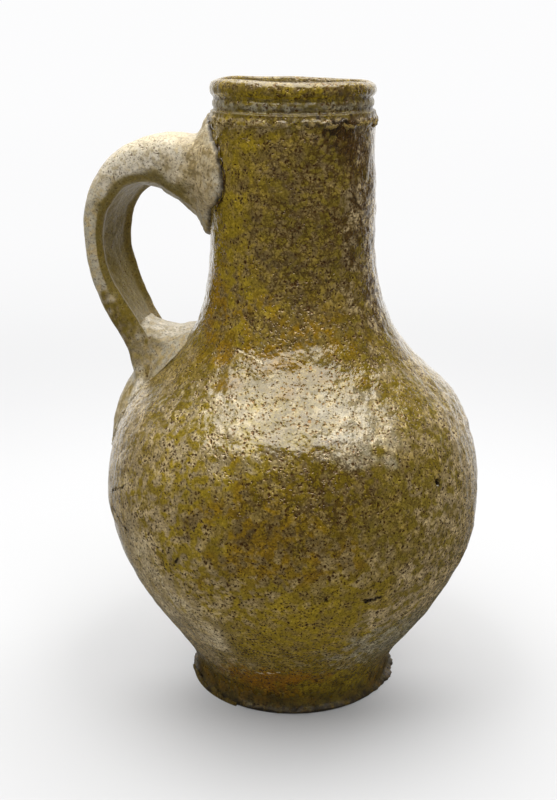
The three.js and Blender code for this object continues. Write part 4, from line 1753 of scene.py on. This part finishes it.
@dataclass
class Crust:
    """Grains of kiln crust that cling along a ring round the pot."""

    name: str
    height: float
    start: float
    end: float
    spacing: float = 0.8
    grain: float = 0.45
    spread: tuple[float, float, float] = (0.2, 0.2, 0.5)
    share: float = 0.75
    seed: int = 1

    def build(self, vessel: Vessel, crust: ShapeTree) -> bpy.types.Object:
        """Sets the grains.

        Args:
            vessel: The pot that they cling to.
            crust: The tree that sets them.

        Returns:
            The finished piece, without its material.
        """
        bearings = np.linspace(self.start, self.end, 240)
        line = np.array([vessel.on_wall(bearing, self.height) for bearing in bearings])
        piece = piece_from(self.name, line, [], [(i, i + 1) for i in range(len(line) - 1)])
        return crust.run(piece, {"Spacing": self.spacing * MM, "Grain": self.grain * MM, "Share": self.share,
                                 "Spread": [v * MM for v in self.spread], "Seed": self.seed})


@dataclass
class FootFlap:
    """A sliver of clay that tore loose at the foot when the pot was cut off the wheel."""

    start: float = -84.0
    end: float = -33.0
    height: float = 1.9
    thickness: float = 0.7
    stand_off: float = 0.6
    columns: int = 110
    rows: int = 14

    def build(self, vessel: Vessel) -> bpy.types.Object:
        """Bends the sliver round the foot.

        Args:
            vessel: The pot that it belongs to.

        Returns:
            The finished piece, without its material.
        """
        columns = []
        for share in np.linspace(0, 1, self.columns):
            bearing = self.start + (self.end - self.start) * share
            spot = np.array([vessel.on_wall(bearing, 1.0)])
            rise = self.height * (1 - share) ** 1.4 * float(smooth(share, -0.02, 0.16))
            rise = max(0.5, rise + 1.4 + 0.55 * float(stray(spot, 3.2, Draw.FLAP_RISE)[0]))
            lean = self.stand_off * (1 - 0.75 * share) + 0.22 * float(stray(spot, 6.0, Draw.FLAP_LEAN)[0])
            turn = math.radians(FACING + bearing)
            way = np.array((math.cos(turn), math.sin(turn)))
            base = vessel.foot_radius - 0.3
            column = []
            for side in (1, 0):
                for up in np.linspace(1 - side, side, self.rows):
                    radius = base + lean * up**0.7 + self.thickness * (1 - 0.55 * up) * side
                    column.append((*(way * radius), 0.15 + rise * up))
            columns.append(column)
        return tube("foot_flap", np.array(columns).reshape(-1, 3), len(columns[0]))


@dataclass
class Studio:
    """A white table with soft light from above, and the camera."""

    distance: float = 385.64
    height: float = 216.66
    pitch: float = 17.205
    lens: float = 54.97
    sensor: float = 36.0
    shift: float = -0.018125
    softbox_side: float = 1.25
    softbox_height: float = 0.95
    softbox_power: float = 23.6
    floor_half: float = 4000.0
    floor_tone: float = 0.46
    floor_lift: float = 0.1
    floor_bounce: float = 0.62
    shade_fill: float = 0.32
    shade_reach: Span = (0.025, 0.08)
    front_reach: Span = (0.0, 0.036)
    front_shade: float = 0.85
    near_white: Colour = (0.815, 0.815, 0.82, 1)
    mid_white: Colour = (0.965, 0.965, 0.97, 1)
    sweep_span: Span = (-0.25, 0.9)
    far_span: Span = (1.0, 3.0)
    table_span: Span = (0.14, 0.6)
    dim_span: Span = (-0.97, -0.45)
    back: float = 0.95
    front: float = 0.055
    rim_light: float = 0.6
    walls_span: Span = (-0.75, 0.15)
    mirrored_shift: Span = (0.22, 0.68)

    def build(self) -> None:
        """Sets up the floor, the light and the camera."""
        self.floor()
        self.light()
        self.camera()
        bpy.context.scene.view_settings.view_transform = "Standard"

    @staticmethod
    def seen(w: Wiring) -> bpy.types.NodeSocket:
        """1 for the rays that the camera, a mirror or glass sends, and 0 for the rest.

        Args:
            w: The material's tree.

        Returns:
            The share.
        """
        path = w.add("ShaderNodeLightPath").outputs
        return w.math("MAXIMUM", path["Is Camera Ray"],
                      w.math("MAXIMUM", path["Is Glossy Ray"], path["Is Transmission Ray"]))

    def floor(self) -> None:
        """The pale table, which fades to the white surround; a mirror sees the dim room in front of it."""
        corners = np.array([(-1, -1, 0), (1, -1, 0), (1, 1, 0), (-1, 1, 0)]) * self.floor_half
        piece = piece_from("table", corners, [(0, 1, 2, 3)])
        material = bpy.data.materials.new("white_table")
        w = emptied(material)
        place = w.add("ShaderNodeTexCoord").outputs["Object"]
        seen = self.seen(w)
        bounce, tone = ((value, value, value * 1.004, 1) for value in (self.floor_bounce, self.floor_tone))
        # Painted light: for camera and mirror rays the table glows evenly, and more under the belly beside
        # and behind the foot, which lightens the jug's shadow there; the extra glow ends beyond 8 cm and is
        # mostly held back in front of the foot.
        before = w.vector("DOT_PRODUCT", place, self.towards_camera())
        faded = w.step(w.vector("LENGTH", place), *self.shade_reach, self.shade_fill)
        fill = w.math("SUBTRACT", self.shade_fill, faded)
        shaded = w.step(before, *self.front_reach, self.front_shade)
        fill = w.math("MULTIPLY", fill, w.math("SUBTRACT", 1.0, shaded))
        fill = w.math("ADD", fill, self.floor_lift)
        paper = w.add("ShaderNodeBsdfPrincipled", {
            "Base Color": w.blend(seen, bounce, tone), "Roughness": 0.9, "Specular IOR Level": 0.1,
            "Emission Color": (1, 1, 1.01, 1), "Emission Strength": w.math("MULTIPLY", seen, fill)})
        behind = w.step(w.math("MULTIPLY", before, -1.0), *self.sweep_span)
        sweep = w.blend(behind, self.near_white, self.mid_white)
        sweep = w.blend(w.step(w.vector("LENGTH", place), *self.far_span), sweep, SURROUND_WHITE)
        mirrored = w.add("ShaderNodeLightPath").outputs["Is Glossy Ray"]
        glow = w.add("ShaderNodeEmission", {
            "Color": sweep, "Strength": w.math("ADD", 1.0, w.math("MULTIPLY", mirrored, self.rim_light))})
        far = w.math("MULTIPLY", seen, w.step(w.vector("LENGTH", place), *self.table_span))
        mixed = w.add("ShaderNodeMixShader", {0: far, 1: paper.outputs[0], 2: glow.outputs[0]})
        room = w.add("ShaderNodeEmission", {"Color": (1, 1, 1, 1), "Strength": self.front})
        bearing = w.math("DIVIDE", before, w.math("MAXIMUM", w.vector("LENGTH", place), 0.05))
        dim = w.math("MULTIPLY", mirrored, w.step(bearing, *self.dim_span))
        mixed = w.add("ShaderNodeMixShader", {0: dim, 1: mixed.outputs[0], 2: room.outputs[0]})
        w.add("ShaderNodeOutputMaterial", {"Surface": mixed.outputs[0]})
        piece.data.materials.append(material)

    @staticmethod
    def towards_camera() -> Vector:
        """The level direction from the jug to the camera."""
        turn = math.radians(FACING)
        return Vector((math.cos(turn), math.sin(turn), 0.0))

    def light(self) -> None:
        """The softbox overhead and the white surround, which is open towards the camera."""
        lamp = bpy.data.lights.new("softbox", "AREA")
        lamp.shape = "SQUARE"
        lamp.size = self.softbox_side
        lamp.energy = self.softbox_power
        box = bpy.data.objects.new("softbox", lamp)
        box.location = (0, 0, self.softbox_height)
        bpy.context.scene.collection.objects.link(box)

        world = bpy.data.worlds.new("surround")
        bpy.context.scene.world = world
        w = emptied(world)
        path = w.add("ShaderNodeLightPath").outputs
        way = w.add("ShaderNodeTexCoord").outputs["Generated"]
        towards = w.vector("DOT_PRODUCT", way, self.towards_camera())
        mirrored = path["Is Glossy Ray"]
        low, high = (w.math("SUBTRACT", edge, w.math("MULTIPLY", mirrored, shift))
                     for edge, shift in zip(self.walls_span, self.mirrored_shift))
        walls = w.math("SUBTRACT", 1.0, w.step(towards, low, high, 1 - self.front / self.back))
        bright = w.math("ADD", self.back, w.math("MULTIPLY", mirrored, self.rim_light))
        walls = w.math("MULTIPLY", walls, bright)
        seen = w.math("MAXIMUM", path["Is Camera Ray"], path["Is Transmission Ray"])
        lit = w.add("ShaderNodeBackground", {"Color": (1, 1, 1, 1), "Strength": walls})
        white = w.add("ShaderNodeBackground", {"Color": SURROUND_WHITE, "Strength": 1.0})
        mixed = w.add("ShaderNodeMixShader", {0: seen, 1: lit.outputs[0], 2: white.outputs[0]})
        w.add("ShaderNodeOutputWorld", {"Surface": mixed.outputs[0]})

    def camera(self) -> None:
        """The camera, at the photograph's angle."""
        data = bpy.data.cameras.new("camera")
        data.lens, data.sensor_width, data.shift_x = self.lens, self.sensor, self.shift
        data.clip_start, data.clip_end = 0.01, 20
        camera = bpy.data.objects.new("camera", data)
        turn = math.radians(CAMERA_AZIMUTH)
        camera.location = Vector((math.sin(turn) * self.distance, -math.cos(turn) * self.distance,
                                  self.height)) * MM
        camera.rotation_euler = (math.radians(90 - self.pitch), 0, turn)
        bpy.context.scene.collection.objects.link(camera)
        bpy.context.scene.camera = camera


def vessel_coat(vessel: Vessel) -> Coat:
    """The vessel's coat, as the kiln left it.

    Args:
        vessel: Its sizes, which place the patches.

    Returns:
        The coat.
    """
    def spot(bearing: float, height: float, across: float, up: float, **changes: object) -> Patch:
        """A patch on the wall, with its half sizes, by its middle's bearing and height."""
        return Patch(vessel.on_wall(bearing, height), across, up, **changes)

    top = vessel.rim
    return Coat(cover=0.5, patches=(
        # Belly and lower wall
        spot(-72, 78, 24, 34, thin=Tint.DUN, thick=Tint.TAUPE, cover=0.15, dots=0.8),
        spot(-52, 74, 17, 30, thin=Tint.DUN, cover=0.35),
        spot(-58, 40, 25, 24, thin=Tint.CREAM, thick=Tint.DUN, cover=0.2, dots=0.8),
        spot(62, 76, 26, 40, thin=Tint.DUN, thick=Tint.MOSS, cover=0.35, veins=0.5, strength=0.85),
        spot(84, 60, 26, 44, thin=Tint.DUN, thick=Tint.TAUPE, cover=0.2),
        spot(-24, 84, 26, 26, thick=Tint.YELLOW, cover=0.5),
        spot(-38, 90, 18, 26, thin=Tint.DUN, strength=0.65),
        # Painted highlight: paler cream over the shoulder's highlight.
        spot(-22, 103, 24, 12, thin=Tint.CREAM, strength=0.5),
        spot(-24, 56, 22, 12, thin=Tint.DUN, cover=0.4, strength=0.6),
        spot(16, 66, 16, 7, thin=Tint.DUN, cover=0.35, strength=0.5),
        spot(-4, 74, 20, 16, thick=Tint.AMBER, thin=Tint.TAUPE, cover=0.55, veins=0.6, strength=0.75),
        spot(-34, 66, 10, 14, thick=Tint.YELLOW, cover=0.5),
        spot(2, 46, 24, 14, thick=Tint.YELLOW, cover=0.58),
        spot(17, 42, 14, 12, thick=Tint.YELLOW, cover=0.62),
        spot(11, 88, 18, 13, thin=Tint.TAUPE, thick=Tint.OLIVE, cover=0.6, veins=0.9),
        spot(34, 80, 18, 24, thick=Tint.MOSS, cover=0.55, veins=0.6),
        spot(52, 42, 22, 22, thin=Tint.DUN, thick=Tint.MOSS, cover=0.3),
        spot(38, 29, 16, 12, thin=Tint.SLATE, thick=Tint.MOSS, cover=0.25),
        spot(-48, 20, 13, 11, thin=Tint.DUN, cover=0.1, dots=0.5),
        # Painted highlight: paler cream at the right of the shoulder's highlight.
        spot(23, 103, 11, 9, thin=Tint.CREAM, thick=Tint.STONE, cover=0.3, strength=0.7),
        spot(-31, 74, 4.5, 3.2, thin=Tint.BROWN, dots=1.0, strength=0.7),
        spot(-12, 73.6, 5, 3, thin=Tint.BROWN, dots=1.0, strength=0.55),
        # Foot
        Patch(height=4.0, up=7.0, thin=Tint.OLIVE, thick=Tint.AMBER, cover=0.4, dots=0.8),
        spot(-8, 13.4, 15, 4.8, thin=Tint.RUST, thick=Tint.RUST, cover=0.7, strength=0.95),
        spot(26, 10, 14, 8, thick=Tint.YELLOW, thin=Tint.OLIVE, cover=0.6),
        # Painted shade: a near-black band along the foot's lower edge, where it meets the table.
        Patch(height=0.4, up=1.3, thin=Tint.SOOT_AND_SHADE, thick=Tint.SOOT_AND_SHADE, dots=0.0, strength=0.85, wander=0.5),
        Patch(height=1.0, up=4.5, dry=0.7),
        # The side away from the camera
        spot(150, 88, 30, 30, thin=Tint.DUN, thick=Tint.TAUPE, cover=0.25, dots=0.8),
        spot(196, 60, 24, 22, thick=Tint.YELLOW, cover=0.6),
        spot(-128, 52, 28, 22, thin=Tint.SLATE, thick=Tint.MOSS, cover=0.35),
        spot(168, 34, 26, 12, thin=Tint.TAUPE, thick=Tint.AMBER, cover=0.6, veins=0.7),
        spot(150, 156, 16, 26, thin=Tint.TAUPE, thick=Tint.AMBER, cover=0.6, veins=0.8),
        spot(205, 148, 14, 24, thin=Tint.DUN, thick=Tint.MOSS, cover=0.35, veins=0.6),
        # Neck
        spot(-28, 134, 20, 18, thick=Tint.AMBER, thin=Tint.TAUPE, cover=0.68),
        spot(8, 128, 22, 10, thick=Tint.AMBER, cover=0.62, strength=0.7),
        spot(-30, 160, 12, 30, thick=Tint.YELLOW, cover=0.75),
        spot(2, 158, 14, 30, thin=Tint.TAUPE, thick=Tint.ASH, cover=0.45, veins=0.75),
        spot(40, 158, 20, 34, thin=Tint.TAUPE, thick=Tint.MOSS, cover=0.5, veins=0.85),
        spot(74, 158, 14, 40, thin=Tint.DUN, thick=Tint.BROWN, cover=0.35, veins=0.9),
        # Collar and lip
        Patch(height=vessel.collar_foot + 1.4, up=2.6, thin=Tint.DUN, cover=0.3, wander=0.25, strength=0.6),
        Patch(height=top - 9.0, up=1.0, thin=Tint.OLIVE, thick=Tint.OLIVE, cover=0.85, wander=0.3),
        Patch(height=top - 6.9, up=1.1, thin=Tint.SLATE, thick=Tint.MOSS, cover=0.3, wander=0.3),
        Patch(height=top - 4.2, up=1.6, thin=Tint.TAUPE, thick=Tint.OLIVE, cover=0.85, wander=0.25),
        spot(-14, 196.4, 18, 2.0, thin=Tint.OLIVE, thick=Tint.YELLOW, cover=0.8),
        Patch(height=top + 0.2, up=2.4, thin=Tint.TAUPE, thick=Tint.ASH, cover=0.4, dots=0.8, dry=0.2,
              wander=0.2),
        Patch(height=top - 8.0, up=3.2, dry=0.5),
        # Smoke stain under the collar, with its drips
        spot(28, 186.4, 5.6, 3.0, thin=Tint.SOOT_AND_SHADE, thick=Tint.SOOT_AND_SHADE, dots=1.0, wander=0.5, soft=0.2),
        spot(36, 184.6, 3.2, 3.6, thin=Tint.SOOT_AND_SHADE, thick=Tint.BROWN, wander=0.8, strength=0.8),
        spot(44, 181.6, 4.4, 4.6, thin=Tint.BROWN, thick=Tint.BROWN, wander=0.7, soft=0.3, strength=0.85),
        spot(58, 174, 7.0, 12, thin=Tint.BROWN, thick=Tint.BROWN, wander=0.8, strength=0.6),
    ))


def handle_coat(handle: StrapHandle) -> Coat:
    """The coat of the handle and the wad: painted highlight over the crown and the wad's top, brown at the
    root, ochre on the limb.

    Args:
        handle: Its sizes, which place the patches.

    Returns:
        The coat.
    """
    root = handle.root_height
    return Coat(thin=Tint.STONE, thick=Tint.DUN, cover=0.3, dots=0.75, veins=0.05, patches=(
        # Painted highlight over the crown, on its top and on its side towards the camera.
        Patch((-46, -10, root + 5), 21, 11, thin=Tint.MILK, thick=Tint.STONE, cover=0.2, dots=0.7,
              wander=0.15, strength=0.5),
        Patch((-48, 0, root + 18), 26, 7, thin=Tint.CREAM, thick=Tint.STONE, cover=0.25, wander=0.1,
              strength=0.8),
        Patch((-26, -12, root + 2), 9, 16, thin=Tint.DUN, thick=Tint.TAUPE, cover=0.25, wander=0.2,
              strength=0.8),
        Patch((-27, -6, root - 18), 7, 4, thin=Tint.TAUPE, thick=Tint.OLIVE, cover=0.6),
        Patch((-54, -10, 127), 6, 11, thin=Tint.TAUPE, thick=Tint.OLIVE, cover=0.65),
        Patch((-50, -12, 113), 7, 8, thin=Tint.TAUPE, thick=Tint.MOSS, cover=0.3, strength=0.7),
        # Painted highlight on the wad's top.
        Patch((-40, -4, 123), 8, 5, thin=Tint.MILK, thick=Tint.STONE, cover=0.25, dots=0.7, wander=0.2,
              strength=0.7),
        Patch((-54, -12, 94), 12, 12, thin=Tint.ASH, cover=0.25),
    ))


def main() -> None:
    """Builds the jug, its glazes and the studio."""
    logging.basicConfig(level=logging.INFO, format="%(name)s: %(message)s")
    effects = Effects()
    wheel, clay, bead, crust = wheel_tree(), clay_tree(), bead_tree(), crust_tree()
    vessel = Vessel(gouges=(
        Gouge((46.7, 84.0), (47.2, 83.6), width=0.85, depth=2.0),
        Gouge((21.6, 50.9), (26.2, 51.6), width=0.65, depth=1.6),
        Gouge((9.0, 53.7), (9.8, 53.5), width=0.6, depth=1.2),
        Gouge((22.2, 56.8), (22.9, 56.6), width=0.4, depth=0.8),
        Gouge((-34.8, 62.6), (-36.0, 60.6), width=0.6, depth=1.0),
        Gouge((-60.5, 78.0), (-70.0, 73.5), width=0.5, depth=0.9),
        Gouge((-71.0, 67.5), (-59.0, 64.8), width=0.55, depth=1.0),
        Gouge((-17.5, 17.0), (-6.5, 18.8), width=0.35, depth=0.35),
        Gouge((-29.5, 121.8), (-15.6, 119.4), width=0.4, depth=0.3),
    ))
    body = vessel.build(wheel, clay)
    masks = [gouge.bottom(body, vessel) for gouge in vessel.gouges]
    masks.append((vessel.inside_neck(places(body)),
                  Patch(thin=Tint.MILK, thick=Tint.MILK, cover=0.2, dots=0.1, veins=0.0, dry=0.5)))
    handle = StrapHandle(vessel)
    # Painted highlight: a pale band along the tail's near edge, on the belly and on the strap.
    painted_highlight_streak = Patch(thin=Tint.MILK, thick=Tint.CREAM, cover=0.2, dots=0.5)
    masks.append((handle.highlight_streak(body), painted_highlight_streak))
    vessel_coat(vessel).paint(body, masks)
    dress(body, SaltGlaze("vessel_salt_glaze").make(effects), "vessel_glaze", "vessel")

    strap = handle.build(clay)
    handle_coat(handle).paint(strap, [
        (handle.inner_side(strap) * 0.9, Patch(thin=Tint.MOSS, thick=Tint.OLIVE, cover=0.6)),
        # Painted shade: the crack between the root and the neck is painted near-black.
        (handle.crack(places(strap)) * 0.9, Patch(thin=Tint.SOOT_AND_SHADE, thick=Tint.SOOT_AND_SHADE, dots=0.0)),
        (handle.highlight_streak(strap), painted_highlight_streak)])
    handle_glaze = SaltGlaze("handle_salt_glaze", island=1.9, pinhole=1.2, pinhole_size=0.26, grain=1.7,
                             mottle=0.2, gloss=0.42, matt=0.5, relief=0.24, specular=0.5, stain=0.08,
                             seed=4.0)
    dress(strap, handle_glaze.make(effects), "handle_glaze", "strap_handle")

    slip_glaze = SaltGlaze("join_slip_glaze", relief=0.3, island=1.6, seed=9.0).make(effects)
    upper = Slip("upper_slip_bead", girth=0.35, swollen=0.25, swell_from=178).build(handle.join_line(), bead)
    # The bead is near-black for most of its length, as painted shade of the crack along the root's edge, with
    # brown islands and an olive patch near its top.
    Coat(thin=Tint.SOOT_AND_SHADE, thick=Tint.BROWN, cover=0.4, dots=0.6, patches=(
        Patch((-14, -20, 186), 10, 6, thin=Tint.TAUPE, thick=Tint.OLIVE, cover=0.7, soft=0.2),)).paint(upper)
    dress(upper, slip_glaze, "join_slip", "upper_join_slip")
    lower = Slip("lower_slip_bead", girth=0.7, sink=0.7, waver=0.08, lump=0.08, seed=5.0)
    lower = lower.build(handle.tail_line(), bead)
    Coat(thin=Tint.CREAM, thick=Tint.STONE, cover=0.3, dots=0.4).paint(lower)
    dress(lower, slip_glaze, "join_slip", "lower_join_slip")

    wad_glaze = replace(handle_glaze, name="wad_salt_glaze", relief=0.26).make(effects)
    wad = JoinWad(vessel, handle).build(clay)
    handle_coat(handle).paint(wad)
    dress(wad, wad_glaze, "wad_glaze", "lower_join_wad")

    grit_glaze = SaltGlaze("kiln_crust_glaze", island=1.2, gloss=0.5, matt=0.55, relief=0.2, specular=0.4,
                           seed=7.0).make(effects)
    edge = np.array([vessel.on_wall(b, vessel.collar_foot + 0.5) for b in np.linspace(-62, 248, 900)])
    edge[:, 2] += 0.35 * stray(edge, 2.4, Draw.CRUST_WAVER) + 0.16 * stray(edge, 1.1, Draw.CRUST_LUMPS)
    rim_crust = Slip("collar_crust", girth=0.46, sink=0.5, sides=8, seed=8.0, waver=0.12).build(edge, bead)
    Coat(thin=Tint.ASH, thick=Tint.TAUPE, cover=0.4, dots=0.9).paint(rim_crust)
    dress(rim_crust, grit_glaze, "vessel_glaze")
    foot_crust = Crust("foot_crust", 1.6, -180, 178, grain=0.36, spacing=0.9, share=0.4,
                       spread=(0.25, 0.25, 0.9), seed=5).build(vessel, crust)
    Coat(thin=Tint.SOOT_AND_SHADE, thick=Tint.BROWN, cover=0.4, dots=0.5).paint(foot_crust)
    dress(foot_crust, grit_glaze, "vessel_glaze")
    flap = FootFlap().build(vessel)
    Coat(thin=Tint.ASH, thick=Tint.TAUPE, cover=0.3, dots=0.7).paint(flap)
    dress(flap, grit_glaze, "vessel_glaze")

    Studio().build()


if __name__ == "__main__":
    main()
